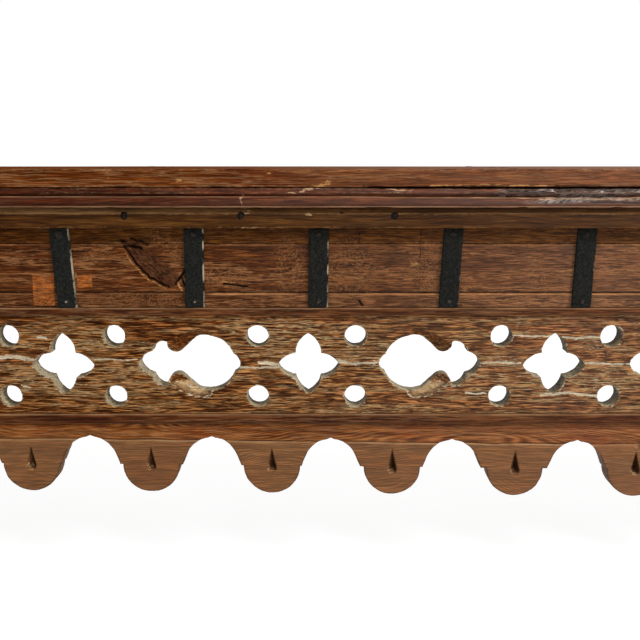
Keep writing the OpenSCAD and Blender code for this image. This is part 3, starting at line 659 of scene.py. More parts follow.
def makeWood(name, look):
    # a wood finish: the grain's value runs from dark over mid to light, then come the larger patches, a
    # painted sheen that pales the wood towards the right in place of the lamps' reflection, pores and wisps,
    # and last the marks of wear and damage, among them painted highlights, painted light and shade on the
    # walls of openings, and painted shade
    material, tree = newMaterial(name)
    position = addNode(tree, "ShaderNodeTexCoord").outputs["Object"]
    sideways = addNode(tree, "ShaderNodeSeparateXYZ", {0: position}).outputs[0]
    turned = addNode(tree, "ShaderNodeMapping", {"Vector": position, "Location": look["place"],
                                                 "Rotation": look["turn"]}).outputs[0]
    grain = addNode(tree, "ShaderNodeGroup", {"Position": turned, "Stretch": look["stretch"],
                                              "Size": look["size"]}, node_tree=grainGroup).outputs
    marks = addNode(tree, "ShaderNodeGroup", {"Position": position}, node_tree=marksGroup).outputs

    def add(amount, weight, rest):
        # amount * weight + rest
        return mathNode(tree, "MULTIPLY_ADD", amount, weight, rest)

    parts = ("Tone", "Streaks", "Fibres", "Figure")
    value = 0.5 - 0.5 * sum(look[label.lower()] for label in parts)
    for label in parts:
        value = add(grain[label], look[label.lower()], value)
    colour = mixColours(tree, spread(tree, value, 0.05, 0.5), look["dark"], look["mid"])
    colour = mixColours(tree, spread(tree, value, 0.5, 1.0), colour, look["light"])
    patches = spread(tree, noiseNode(tree, turned, 9.0, 3.0), 0.42, 0.62, 0.0, look["cloud"])
    colour = mixColours(tree, patches, colour, look["other"], "SOFT_LIGHT")
    # painted sheen: the wood is painted paler towards the right, standing in for the lamps' reflection
    paintedSheen = spread(tree, sideways, *oldWood["paintedSheenReach"], 0.0, look["paintedSheen"])
    colour = mixColours(tree, paintedSheen, colour, oldWood["paintedSheen"])
    # layers over the grain: where each shows, how strongly, and its colour
    layers = [(grain["Pores"], look["pores"], look["pore"]), (grain["Wisps"], look["wisps"], look["wornAndHighlight"]),
              (marks["Wear"], look["wear"], look["wornAndHighlight"]),
              # the painted highlights along arrises, in the worn colour
              (marks["Line"], oldWood["highlightShare"], look["wornAndHighlight"])]
    if "walls" in look:
        # the walls of openings: a painted shade colour and a painted light colour, mixed by which way each
        # wall faces the key lamp
        share, inShade, inLight = look["walls"]
        dusty = spread(tree, add(grain["Fibres"], 0.55, meshMark(tree, "dust")), 0.3, 1.3)
        layers += [(marks["Wall"], share, mixColours(tree, dusty, inShade, inLight)),
                   (meshMark(tree, "carved"), *look["carved"])]
    knot = mixColours(tree, marks["Wrinkles"], *oldWood["knot"])
    torn = mixColours(tree, marks["Shreds"], *oldWood["torn"])
    layers += [(marks["Pits"], oldWood["pitShare"], look["pore"]),
               (marks["Specks"], oldWood["speckShare"], look["wornAndHighlight"]),
               (marks["Knot"], oldWood["knotShare"], knot), (marks["Torn"], oldWood["tornShare"], torn),
               (marks["Raw"], oldWood["rawShare"], look["raw"]),
               (marks["Crack"], oldWood["crackShare"], oldWood["crack"])]
    for amount, share, over in layers:
        colour = mixColours(tree, mathNode(tree, "MULTIPLY", amount, share), colour, over)
    height = add(marks["Specks"], 1.1, grain["Height"])
    height = add(mathNode(tree, "MULTIPLY", marks["Wrinkles"], marks["Knot"]), 1.6, height)
    height = add(mathNode(tree, "MULTIPLY", marks["Shreds"], marks["Torn"]), 1.8, height)
    bump = addNode(tree, "ShaderNodeBump", {"Height": height, "Strength": look["bump"],
                                            "Distance": oldWood["bumpReach"]})
    finish = {
        "Base Color": colour,
        "Roughness": add(marks["Raw"], 0.2, add(grain["Streaks"], -0.1, look["roughness"])),
        "Normal": bump.outputs["Normal"],
        "Specular IOR Level": look["specular"],
        "Coat Weight": spread(tree, sideways, *oldWood["coatReach"], *look["gloss"]),
        "Coat Roughness": oldWood["coatRoughness"],
    }
    for key, value in finish.items():
        feed(tree, tree.nodes["Principled BSDF"].inputs[key], value)
    return material


# colours as seen on a screen; tone to figure are the parts of the grain, wisps and pores its fine lines,
# gloss the coat on the left and on the right, and the worn colour also paints the highlights along arrises.
# Walls are a share with a painted shade colour and a painted light colour, and carved a share with a colour,
# where a board has openings; on the fretwork the carved colour is painted shade in the upper spoon cuts
plainWood = {"tone": 0.35, "streaks": 0.35, "fibres": 0.4, "figure": 0.35, "wisps": 0.15, "pores": 0.4,
             "cloud": 0.3, "paintedSheen": 0.0, "gloss": (0.0, 0.1), "wear": 0.4, "roughness": 0.6, "bump": 0.6,
             "stretch": 0.06, "size": 1.0, "turn": (0, 0, 0), "specular": 0.05}
woodLooks = {
    "seat_wood": dict(
        plainWood, dark=(78, 36, 12), mid=(114, 58, 21), light=(158, 90, 42), other=(150, 96, 50),
        pore=(38, 17, 7), wornAndHighlight=(200, 154, 108), raw=(206, 150, 92), tone=0.2, streaks=0.2, fibres=0.38,
        figure=0.08, wisps=0.35, pores=0.5, cloud=0.35, paintedSheen=0.14, wear=0.45, bump=0.5, stretch=0.045,
        size=1.3, place=(0.3, 0.1, 0.0), specular=0.0),
    "cornice_wood": dict(
        plainWood, dark=(46, 19, 7), mid=(88, 38, 14), light=(136, 72, 34), other=(112, 76, 36),
        pore=(28, 13, 6), wornAndHighlight=(206, 158, 120), raw=(214, 172, 130), streaks=0.4, fibres=0.3, figure=0.2,
        wisps=0.08, pores=0.3, paintedSheen=0.06, gloss=(0.05, 0.9), wear=0.25, roughness=0.5, bump=0.45,
        stretch=0.05, place=(1.7, 0.4, 0.2)),
    "fascia_wood": dict(
        plainWood, dark=(40, 22, 8), mid=(74, 43, 16), light=(116, 74, 32), other=(104, 84, 40),
        pore=(26, 15, 6), wornAndHighlight=(166, 124, 80), raw=(196, 162, 118), streaks=0.4, fibres=0.3, figure=0.25,
        wisps=0.08, pores=0.3, cloud=0.5, paintedSheen=0.03, gloss=(0.0, 0.05), bump=0.4, stretch=0.05,
        place=(2.9, 0.3, 0.4)),
    "frieze_wood": dict(
        plainWood, dark=(44, 21, 8), mid=(98, 53, 23), light=(162, 98, 50), other=(140, 80, 34),
        pore=(24, 12, 6), wornAndHighlight=(222, 154, 100), raw=(222, 160, 100), tone=0.25, streaks=0.12, fibres=0.34,
        figure=0.16, wisps=0.65, pores=0.5, cloud=0.25, paintedSheen=0.13, wear=0.5, bump=0.8, stretch=0.07,
        size=1.35, place=(3.1, 0.2, 0.5)),
    "patch_wood": dict(
        plainWood, dark=(84, 42, 12), mid=(152, 80, 25), light=(204, 120, 48), other=(170, 96, 36),
        pore=(48, 24, 9), wornAndHighlight=(190, 140, 92), raw=(206, 150, 96), tone=0.4, streaks=0.3, figure=0.2,
        wisps=0.1, pores=0.3, gloss=(0.0, 0.0), wear=0.35, stretch=0.16, place=(5.2, 0.6, 0.1)),
    "moulding_wood": dict(
        plainWood, dark=(50, 23, 9), mid=(88, 46, 20), light=(140, 86, 48), other=(130, 76, 34),
        pore=(28, 14, 6), wornAndHighlight=(196, 150, 108), raw=(206, 162, 118), tone=0.25, figure=0.14, wisps=0.25,
        cloud=0.35, paintedSheen=0.01, stretch=0.05, place=(2.4, 0.9, 0.7)),
    "fret_wood": dict(
        plainWood, dark=(48, 22, 6), mid=(132, 73, 26), light=(222, 156, 92), other=(150, 92, 36),
        pore=(30, 15, 7), wornAndHighlight=(244, 200, 142), raw=(255, 238, 204), tone=0.15, streaks=0.15, fibres=0.6,
        figure=0.2, wisps=1.0, pores=0.85, paintedSheen=0.13, wear=0.65, roughness=0.7, bump=1.0, stretch=0.07,
        size=1.35, place=(4.4, 0.3, 0.9), walls=(0.95, (60, 52, 30), (255, 236, 194)),
        carved=(0.5, (112, 60, 22))),
    "apron_wood": dict(
        plainWood, dark=(84, 40, 15), mid=(136, 76, 32), light=(188, 122, 66), other=(166, 92, 36),
        pore=(44, 22, 10), wornAndHighlight=(216, 172, 126), raw=(226, 188, 140), streaks=0.25, fibres=0.35,
        figure=0.65, wisps=0.18, cloud=0.45, paintedSheen=0.06, wear=0.35, place=(6.3, 0.7, 0.3),
        walls=(0.7, (44, 26, 14), (140, 104, 70)), carved=(0.5, (140, 106, 74))),
    "frame_wood": dict(
        plainWood, dark=(64, 36, 16), mid=(98, 60, 31), light=(142, 98, 58), other=(120, 76, 40),
        pore=(38, 22, 12), wornAndHighlight=(168, 130, 92), raw=(190, 150, 110), cloud=0.4, gloss=(0.0, 0.0),
        roughness=0.65, bump=0.7, stretch=0.07, place=(7.1, 0.5, 0.6)),
    "leg_wood": dict(
        plainWood, dark=(52, 26, 11), mid=(88, 47, 22), light=(128, 78, 42), other=(120, 76, 36),
        pore=(30, 15, 8), wornAndHighlight=(170, 126, 86), raw=(190, 150, 110), cloud=0.4, wear=0.5,
        place=(8.5, 0.2, 0.4), turn=(0, math.radians(90), 0)),
    "peg_wood": dict(
        plainWood, dark=(64, 36, 18), mid=(104, 64, 34), light=(140, 94, 56), other=(120, 76, 40),
        pore=(38, 22, 12), wornAndHighlight=(168, 130, 92), raw=(190, 150, 110), tone=0.4, streaks=0.4, figure=0.1,
        wisps=0.1, gloss=(0.0, 0.0), wear=0.3, bump=0.5, stretch=0.3, place=(9.3, 0.1, 0.8)),
    "dark_peg": dict(
        plainWood, dark=(12, 9, 7), mid=(28, 21, 16), light=(54, 42, 33), other=(40, 30, 22),
        pore=(8, 6, 5), wornAndHighlight=(84, 72, 60), raw=(110, 96, 78), tone=0.4, streaks=0.4, figure=0.0, wisps=0.1,
        wear=0.3, roughness=0.5, bump=0.7, stretch=1.0, size=1.3, place=(1.1, 0.8, 0.2)),
}
# the frieze's top strip is painted darker for the shade that the cornice casts on it, over its own darker
# oil; the bottom strip was rubbed paler
woodLooks["shaded_wood"] = dict(woodLooks["frieze_wood"], dark=(52, 28, 9), mid=(100, 57, 18),
                                light=(152, 96, 38), wisps=0.15, paintedSheen=0.02)
woodLooks["strip_wood"] = dict(woodLooks["frieze_wood"], dark=(48, 24, 10), mid=(100, 58, 29),
                               light=(168, 114, 72), wisps=0.7)
ironLooks = {
    "strap_iron": {"dark": (7, 8, 7), "light": (36, 37, 33), "rustColour": (38, 29, 20), "rust": 0.3,
                   "wornAndHighlight": (200, 186, 160), "wear": 0.7, "roughness": 0.7, "metal": 0.0, "bump": 1.0},
    "nail_iron": {"dark": (16, 15, 13), "light": (64, 58, 50), "rustColour": (50, 38, 28), "rust": 0.4,
                  "wornAndHighlight": (196, 184, 164), "wear": 0.9, "roughness": 0.5, "metal": 0.1, "bump": 0.8},
}


def makeIron(name, look):
    # old iron: black scale with hammer pits, paler spots where the wear mark says, which on the nail heads is
    # a painted highlight, and a little rust
    material, tree = newMaterial(name)
    position = addNode(tree, "ShaderNodeTexCoord").outputs["Object"]
    pits = noiseNode(tree, position, 520.0, 4.0, 0.6)
    dents = addNode(tree, "ShaderNodeTexVoronoi", {"Vector": position, "Scale": 240.0}, feature="SMOOTH_F1")
    colour = mixColours(tree, spread(tree, pits, 0.35, 0.68), look["dark"], look["light"])
    rust = spread(tree, noiseNode(tree, position, 60.0, 4.0), 0.54, 0.72, 0.0, look["rust"])
    colour = mixColours(tree, rust, colour, look["rustColour"])
    paleShare = spread(tree, mathNode(tree, "ADD", meshMark(tree, "wear"), pits), 1.0, 1.45)
    bright = mathNode(tree, "MULTIPLY", paleShare, look["wear"])
    height = mathNode(tree, "MULTIPLY_ADD", dents.outputs["Distance"], 0.7, pits)
    bump = addNode(tree, "ShaderNodeBump", {"Height": height, "Strength": look["bump"], "Distance": 0.0012})
    finish = {
        "Base Color": mixColours(tree, bright, colour, look["wornAndHighlight"]),
        "Roughness": spread(tree, pits, 0.3, 0.7, look["roughness"] + 0.12, look["roughness"] - 0.1),
        "Metallic": look["metal"],
        "Specular IOR Level": 0.12,
        "Normal": bump.outputs["Normal"],
    }
    for key, value in finish.items():
        feed(tree, tree.nodes["Principled BSDF"].inputs[key], value)
    return material


materials = {name: makeWood(name, look) for name, look in woodLooks.items()}
materials.update({name: makeIron(name, look) for name, look in ironLooks.items()})
print("materials made")


# Seat planks
plankLook = {"frontRadius": 1.5, "backRadius": 1.0, "wear": 0.7, "topWorn": 0.5, "mostGone": 1.8,
             "arrisHeight": 2.4, "arrisDepth": 4, "rawMiddle": 192, "rawHalf": 46}


def carvePlank(points, normal):
    # the top is worn half a millimetre low, and the front's lower edge is broken away over the open joint
    look = plankLook
    x = points[..., 0] / mm
    top = np.clip(normal[:, 1], 0, 1)
    low = np.clip(-normal[:, 1], 0, 1)
    atFront = points[..., 1] < seatLow.y + look["arrisDepth"] * mm
    arris = atFront * (points[..., 2] < seatLow.z + look["arrisHeight"] * mm)
    ragged = noiseShare(points, (0.013, 0.02, 0.02), 31)
    fine = noiseShare(points, (0.0035, 0.02, 0.02), 32)
    gone = np.minimum(brokenMark(x), look["mostGone"]) * (0.25 + ragged + 0.5 * fine)
    depth = look["topWorn"] * mm * top * (0.6 + 0.4 * softNoise(points, (0.12, 0.03, 1), 33))
    depth += 0.55 * mm * gone * low * arris
    overJoint = np.abs(x - look["rawMiddle"]) < look["rawHalf"]
    raw = arris * ramp(gone, 0.5, look["mostGone"]) * (0.35 + 0.4 * overJoint)
    return depth, {"raw": raw * (x > -viewHalf / mm) * (x < viewHalf / mm)}


for index, name in enumerate(("seat_plank_front", "seat_plank_middle", "seat_plank_back")):
    first = index == 0
    radii = inMm(*(plankLook[key] for key in ("backRadius", "frontRadius", "frontRadius", "backRadius")))
    section, edge = roundedSection(boxCorners(*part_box(name)), radii, inMm(5, 1.1 if first else 4, 8, 4))
    piece = runAlongX("worn_" + name, section, edge, halfLength, plankLook["wear"] * mm, 40 + 10 * index,
                      carvePlank, fine=(1.0 if first else 6.0) * mm, coarse=8 * mm)
    settle(piece, name, "seat_wood")
print("seat planks")

# Cornice: bead moulding and fascia along the front, in mm. The outs are measured from the frieze's face
corniceLook = {"lipHeight": 7, "lipOut": 23, "quirkOut": 19, "quirkHeight": 2, "beadDiameter": 10.5,
               "beadFrom": 97, "beadTo": 263, "crestAt": 118, "crestHalf": 9, "slopeHeight": 6.5,
               "slopeOut": 10, "wear": 0.55, "fasciaWear": 0.5, "goneHeight": 20}


def beadSection():
    # back, lip, sunk quirk, half-round bead and fillet, from the top back corner round the front
    low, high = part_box("front_bead_moulding")
    look = corniceLook

    def out(value):
        # Y at so many millimetres in front of the frieze's face
        return friezeFace - value * mm

    lip, quirk = look["lipOut"], look["quirkOut"]
    lipZ = high.z - look["lipHeight"] * mm
    quirkZ = lipZ - look["quirkHeight"] * mm
    r = look["beadDiameter"] / 2 * mm
    middle = np.array([low.y + r, quirkZ - r])
    angles = np.linspace(math.radians(look["beadFrom"]), math.radians(look["beadTo"]), 30)
    bead = middle + r * np.stack([np.cos(angles), np.sin(angles)], axis=1)
    upper, upperEdge = roundedSection(
        [(high.y, high.z), (out(lip), high.z), (out(lip), lipZ), (out(quirk), lipZ), (high.y, lipZ)],
        inMm(0, 1.6, 1.6, 0, 0), inMm(7, 0.8, 1.2, 40, 40))
    keep = int(np.argmin(np.hypot(upper[:, 0] - out(quirk), upper[:, 1] - lipZ)))
    lower = np.array([(out(quirk - 0.4), low.z + 1.6 * mm), (out(quirk), low.z + 0.9 * mm),
                      (out(quirk - 0.3), low.z), (friezeFace, low.z), (high.y, low.z)])
    points = np.concatenate([upper[:keep + 1], [(out(quirk - 0.6), quirkZ + 0.6 * mm)], bead, lower])
    # the edge value peaks at the bead's top: a painted highlight where it faces the light, carried in the
    # wear mark
    crest = 0.1 + 0.75 * levelMark(angles, math.radians(look["crestAt"]), math.radians(look["crestHalf"]))
    return points, np.concatenate([upperEdge[:keep + 1], [0], crest, [0.1, 0.9, 0.6, 0, 0]])


def carveBead(points, normal):
    # the lip is split and torn away on the right, down to the bead where most is gone. A painted highlight
    # runs along the bead's crest, wider and stronger to the right where the bead shines, and one along the
    # fillet
    x, z = points[..., 0] / mm, points[..., 2]
    beadLow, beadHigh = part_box("front_bead_moulding")
    gone = brokenMark(x)
    height = (z - (seatLow.z - corniceLook["goneHeight"] * mm)) / (corniceLook["goneHeight"] * mm)
    ragged = noiseShare(points, (0.010, 0.006, 0.0022), 51)
    fine = noiseShare(points, (0.0045, 0.003, 0.0012), 52)
    front = facingFront(normal)
    upward = np.clip(normal[:, 1], 0, 1) * (points[..., 1] < friezeFace - 14 * mm)
    mark = ramp(gone, 2.2, 4.2) * ramp(height, 0.25, 0.75) * front
    topCut = 0.8 * mm * np.minimum(gone, plankLook["mostGone"]) * (0.3 + ragged) * upward
    frontCut = mm * mark * (0.6 + 2.6 * ragged + 0.9 * fine)
    crest = beadHigh.z - (corniceLook["lipHeight"] + corniceLook["quirkHeight"] + 0.5) * mm
    toRight = ramp(x, -20, 200)
    onBead = points[..., 1] < beadLow.y + 3.6 * mm
    # painted highlights along the bead's crest, growing to the right, and along the fillet
    lines = ((1.1 + 0.6 * toRight) * levelMark(z, crest, (0.7 + 0.5 * toRight) * mm) * onBead
             + 1.2 * levelMark(z, beadLow.z + 1.2 * mm, 0.6 * mm))
    return topCut + frontCut, {"rough": mark * ramp(ragged, 0.2, 0.6), "line": lines * front ** 0.5,
                               "raw": 0.55 * mark * ramp(fine, 0.55, 0.8)}


def carveFascia(points, normal):
    # a painted highlight along the arris under the worn slope, and painted light on the slope, most on the
    # left
    x, z = points[..., 0] / mm, points[..., 2]
    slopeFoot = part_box("front_fascia")[1].z - corniceLook["slopeHeight"] * mm
    arris = noiseShare(points, (0.025, 1, 1), 72) * levelMark(z, slopeFoot, 0.6 * mm)
    slope = ramp(normal[:, 1], 0.3, 0.6) * (z > slopeFoot)
    paintedSlopeLight = slope * (0.15 + 0.75 * (1 - ramp(x, -250, 60)))
    return 0, {"line": np.clip(0.9 * arris + paintedSlopeLight, 0, 1) * facingFront(normal) ** 0.5}


section, edge = beadSection()
piece = runAlongX("worn_bead_moulding", section, edge, halfFrame, corniceLook["wear"] * mm, 60, carveBead,
                  mitre=1)
settle(piece, "front_bead_moulding", "cornice_wood")

low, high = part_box("front_fascia")
section, edge = roundedSection(
    [(high.y, high.z), (friezeFace - corniceLook["slopeOut"] * mm, high.z),
     (low.y, high.z - corniceLook["slopeHeight"] * mm), (low.y, low.z), (high.y, low.z)],
    inMm(0, 0.6, 1.0, 1.3, 0), inMm(9, 0.7, 0.8, 4, 9))
piece = runAlongX("worn_fascia", section, edge, halfFrame, corniceLook["fasciaWear"] * mm, 70, carveFascia,
                  mitre=1)
settle(piece, "front_fascia", "cornice_wood", "fascia_wood")
print("cornice")

# Frieze boards and their finishes. Joints and arrises lie so far above a board's upper edge, in mm
friezeWoods = {"frieze_top_strip": "shaded_wood", "frieze_board": "frieze_wood",
               "frieze_bottom_strip": "strip_wood"}
friezeLook = {"radius": 0.7, "wear": 0.45, "lowJoint": 0.6, "lowArris": -1.6, "highJoint": 0.2,
              "highArris": -1.3}


def carveFrieze(points, normal):
    # two dark joints with a painted highlight along the arris under each. The lower joint is the wider one,
    # and its highlight is strongest left of the middle and strong again right of it
    look = friezeLook
    x, z = points[..., 0] / mm, points[..., 2]
    front = facingFront(normal)
    along = noiseShare(points, (0.03, 1, 1), 83)
    gap = (levelMark(z, stripHigh.z + look["lowJoint"] * mm, 1.0 * mm)
           + 0.15 * levelMark(z, friezeHigh.z + look["highJoint"] * mm, 0.7 * mm))
    arrisLight = 1.4 * ramp(x, -112, -100) * (1 - ramp(x, -20, -6)) + 0.6 * along + 0.9 * ramp(x, 10, 60)
    arris = (arrisLight * levelMark(z, stripHigh.z + look["lowArris"] * mm, 1.0 * mm)
             + 0.7 * along * levelMark(z, friezeHigh.z + look["highArris"] * mm, 0.8 * mm))
    return 0, {"crack": 0.9 * gap * front, "line": np.clip(arris, 0, 1) * front}


for index, (name, wood) in enumerate(friezeWoods.items()):
    r = friezeLook["radius"]
    section, edge = roundedSection(boxCorners(*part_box(name)), inMm(0, r, r, 0), inMm(9, 0.7, 9, 20))
    piece = runAlongX("worn_" + name, section, edge, halfFrame, friezeLook["wear"] * mm, 80 + 5 * index,
                      carveFrieze)
    settle(piece, name, "frieze_wood", wood)
print("frieze")

# Half-round mouldings above and below the fretwork
mouldingLook = {"lessRound": 0.5, "wear": 0.4, "edgeShare": 0.25, "arrisIn": 0.8}
mouldingBoxes = {name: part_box(name) for name in ("upper_fret_moulding", "lower_fret_moulding")}


def carveMoulding(points, normal):
    # a painted highlight along the arris where each moulding's round meets its flat top, and a fainter one
    # under it
    z = points[..., 2]
    inside = mouldingLook["arrisIn"] * mm
    lines = 0 * z
    for low, high in mouldingBoxes.values():
        lines += levelMark(z, high.z - inside, 0.6 * mm) + 0.4 * levelMark(z, low.z + inside, 0.5 * mm)
    return 0, {"line": (0.5 + 0.6 * noiseShare(points, (0.02, 1, 1), 84)) * lines * (normal[:, 0] < -0.1)}


for index, (name, (low, high)) in enumerate(mouldingBoxes.items()):
    r = min(high.y - low.y, (high.z - low.z) / 2) - mouldingLook["lessRound"] * mm
    section, edge = roundedSection(boxCorners(low, high), [0, r, r, 0], inMm(3, 1, 3, 4))
    piece = runAlongX("worn_" + name, section, mouldingLook["edgeShare"] * edge, halfFrame,
                      mouldingLook["wear"] * mm, 100 + 5 * index, carveMoulding)
    settle(piece, name, "moulding_wood")
print("mouldings")


# Pierced boards: the fretwork and the scalloped apron. Steps of their outlines, rings of points that round
# their edges off, the room that rings (as a share) and inner points keep to an outline, all in mm, the
# straight stretch along a joint, the walls' steps from front to back, and how far inner points are moved at
# random, as a share
boardLook = {"outerStep": 1.6, "holeStep": 1.4, "bendStep": 6, "creaseStep": 1.0, "rings": (0.4, 1.0, 2.2),
             "ringRoom": 0.8, "pointRoom": 0.3, "straight": 2, "sawnEnd": 1, "jitter": 0.25,
             "wallSteps": (0, 0.05, 0.15, 0.32, 0.55, 0.78, 1.0), "smallestArea": 50, "farthest": 20}


def signedArea(line):
    # the area inside a closed line, negative where it runs clockwise
    x, z = line[:, 0], line[:, 1]
    return 0.5 * np.sum(x * np.roll(z, -1) - np.roll(x, -1) * z)


def faceLoops(node, level):
    # the closed outlines of a CAD board's flat face at Y = level, as arrays of X and Z, from a merged copy
    # of its mesh. Nail holes are smaller than the smallest area and are left out. The faces are kept in a
    # dictionary, in the mesh's order: a set's order, and with it the outlines', changes from run to run
    work = mergedCopy(nodes[node].data)
    flat = dict.fromkeys(f for f in work.faces if all(abs(v.co.y - level) < 2e-5 for v in f.verts))
    following = {}
    for face in flat:
        for loop in face.loops:
            if sum(other in flat for other in loop.edge.link_faces) == 1:
                following.setdefault(loop.vert, []).append(loop.link_loop_next.vert)
    loops = []
    while following:
        vert = next(iter(following))
        line = []
        while vert in following:
            line.append((vert.co.x, vert.co.z))
            after = following[vert].pop()
            if not following[vert]:
                del following[vert]
            vert = after
        loops.append(np.array(line))
    work.free()
    return [line for line in loops if abs(signedArea(line)) > boardLook["smallestArea"] * mm * mm]


def cutFine(line, step):
    # cuts every side of a closed line into pieces no longer than the step
    parts = []
    for a, b in zip(line, np.roll(line, -1, axis=0)):
        n = max(1, math.ceil(np.linalg.norm(b - a) / step))
        parts.append(a + (np.arange(n) / n)[:, None] * (b - a))
    return np.concatenate(parts)


def nearestDistance(points, samples):
    # distance from each point to the nearest sample, a slice of X at a time, and never more than the farthest
    farthest = boardLook["farthest"] * mm
    samples = samples[np.argsort(samples[:, 0])]
    result = np.full(len(points), farthest)
    for left in np.arange(-1.0, 1.0, farthest):
        chosen = np.nonzero((points[:, 0] >= left) & (points[:, 0] < left + farthest))[0]
        a, b = np.searchsorted(samples[:, 0], (left - farthest, left + 2 * farthest))
        if len(chosen) and b > a:
            d = np.hypot(points[chosen, 0][:, None] - samples[None, a:b, 0],
                         points[chosen, 1][:, None] - samples[None, a:b, 1]).min(1)
            result[chosen] = np.minimum(d, farthest)
    return result


def insideBoard(points, lines):
    # the points inside the first outline and outside all the others
    inside = insideLine(points, lines[0])
    for line in lines[1:]:
        inside &= ~insideLine(points, line)
    return inside


def boardOutlines(node, warp):
    # a board's outline, counter-clockwise, and its openings, clockwise, cut fine. The warp moves their points
    loops = faceLoops(node, boardBack)
    if warp:
        loops = [warp(cutFine(line, boardLook["bendStep"] * mm)) for line in loops]
    loops.sort(key=lambda line: -abs(signedArea(line)))
    lines = []
    for index, line in enumerate(loops):
        outer = index == 0
        if (signedArea(line) < 0) == outer:
            line = line[::-1]
        lines.append(cutFine(line, boardLook["outerStep" if outer else "holeStep"] * mm))
    return lines


def handCut(line, node, look):
    # an outline with uneven waves that run into the wood, and the direction from each point into the wood. It
    # stays straight at the board's ends and where other boards join it
    low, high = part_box(node)
    straight = boardLook["straight"] * mm
    along = np.roll(line, -1, axis=0) - np.roll(line, 1, axis=0)
    inward = np.stack([-along[:, 1], along[:, 0]], axis=1)
    inward /= np.maximum(np.linalg.norm(inward, axis=1), 1e-9)[:, None]
    place = np.stack([line[:, 0], 0 * line[:, 0], line[:, 1]], axis=1)
    amount = look["wobble"] * mm * (0.6 * softNoise(place, (0.016, 1, 0.016), 5)
                                    + 0.4 * softNoise(place, (0.005, 1, 0.005), 6))
    free = (line[:, 1] < high.z - straight) & awayFromEnds(line)
    if look["straightFoot"]:
        free &= line[:, 1] > low.z + straight
    return line + inward * (np.abs(amount) * free)[:, None], inward


def awayFromEnds(line):
    # true for the points that aren't on the board's two sawn ends
    return np.abs(line[:, 0]) < halfFrame - boardLook["sawnEnd"] * mm


def innerPoints(lines, inwards, low, high, look, densePlaces):
    # points on the wood: rings along the outlines, a fine grid in view, a coarse one to both sides, and a
    # grid in each dense place. Grid points are moved a little at random
    samples = np.concatenate(lines)
    offsets = inMm(*boardLook["rings"])
    rings = np.concatenate([line + inward * offset for line, inward in zip(lines, inwards)
                            for offset in offsets])
    ringOffset = np.concatenate([np.full(len(line), offset) for line in lines for offset in offsets])
    rings = rings[nearestDistance(rings, samples) > boardLook["ringRoom"] * ringOffset]

    def gridPoints(x0, x1, z0, z1, step):
        # a square grid within the limits, each point moved by at most the jitter times the step
        gx, gz = np.meshgrid(np.arange(x0, x1, step), np.arange(z0, z1, step))
        grid = np.stack([gx.ravel(), gz.ravel()], axis=1)
        return grid + rng.uniform(-boardLook["jitter"], boardLook["jitter"], grid.shape) * step

    places = [(-viewHalf, viewHalf, low[1], high[1], look["fine"] * mm),
              (low[0], -viewHalf, low[1], high[1], look["coarse"] * mm),
              (viewHalf, high[0], low[1], high[1], look["coarse"] * mm)] + densePlaces
    inner = np.concatenate([rings] + [gridPoints(*place) for place in places])
    inner = inner[insideBoard(inner, lines)]
    return inner[nearestDistance(inner, samples) > boardLook["pointRoom"] * mm]


def loopEdges(lines):
    # the sides of closed lines whose points follow one another in one list
    edges = []
    first = 0
    for line in lines:
        n = len(line)
        edges += [(first + i, first + (i + 1) % n) for i in range(n)]
        first += n
    return edges


def fillFlat(points, edges, lines, facing):
    # Delaunay triangles between the points, on the wood only. Facing is 1 for the front and -1 for the back
    verts, _, faces, _, _, _ = delaunay_2d_cdt([tuple(p) for p in points], edges, [], 0, 1e-7)
    flat = np.array([tuple(v) for v in verts])
    faces = np.array([f for f in faces if len(f) == 3])
    faces = faces[insideBoard(flat[faces].mean(axis=1), lines)]
    cross = (flat[faces[:, 1]] - flat[faces[:, 0]]) * (flat[faces[:, 2]] - flat[faces[:, 0]])[:, ::-1]
    turned = facing * (cross[:, 0] - cross[:, 1]) < 0
    faces[turned] = faces[turned][:, ::-1]
    return flat, faces


def boardFront(xz, samples, front, look, depthAt):
    # Y of the front surface, and the marks there: an arc at the cut edges, grooves, slow waves and the
    # carving
    edgeDistance = nearestDistance(xz, samples)
    place = np.stack([xz[:, 0], 0 * xz[:, 0] + front, xz[:, 1]], axis=1)
    radius = look["arris"] * mm * (1 + 0.6 * softNoise(place, (0.012, 1, 0.012), 9))
    inside = np.clip(radius - edgeDistance, 0, None)
    fall = radius - np.sqrt(np.maximum(radius ** 2 - inside ** 2, 0))
    marks, grooves = frontMarks(place, np.ones(len(xz)))
    wave = look["wave"] * mm * noiseShare(place, (0.05, 1, 0.02), 11)
    carved, carvedMarks = depthAt(xz, edgeDistance)
    addMarks(marks, carvedMarks)
    marks["wear"] = (1 - ramp(edgeDistance, 0.3 * mm, 2.0 * mm)) * look["edgeWear"]
    return front + fall + grooves + wave + carved, marks


def boardWall(line, inward, y, marks, look):
    # an outline carried from the front to the back in steps, bent by a wave, and the marks there. The painted
    # wall light is 1 where the wall faces up or to the right, towards the key lamp, and 0 where it faces down
    # or to the left, broken up in patches: it picks the painted light or the painted shade colour. The ends
    # keep the front's colour
    steps = np.array(boardLook["wallSteps"])
    y = y[None, :] + (boardBack - y)[None, :] * steps[:, None]
    straight = np.stack([line[None, :, 0] + 0 * y, y, line[None, :, 1] + 0 * y], axis=-1)
    bent = look["wallWave"] * mm * softNoise(straight, (0.008, 0.012, 0.008), 13)
    bent = bent * np.sin(steps * math.pi)[:, None]
    into = np.stack([inward[:, 0], 0 * inward[:, 0], inward[:, 1]], axis=1)
    grid = straight + bent[..., None] * into[None]
    facing = 0.5 - 0.55 * inward[:, 0] - 0.45 * inward[:, 1]
    wallMarks = {key: values[None, :] * (1 - steps)[:, None] for key, values in marks.items()}
    wallMarks["wear"] = marks["wear"][None, :] * (steps < 0.01)[:, None]
    wallMarks["wall"] = ramp(steps, 0.0, 0.06)[:, None] * awayFromEnds(line)
    wallMarks["dust"] = np.clip(facing + 0.3 * softNoise(grid, (0.012, 0.01, 0.012), 15), 0, 1)
    return grid, wallMarks


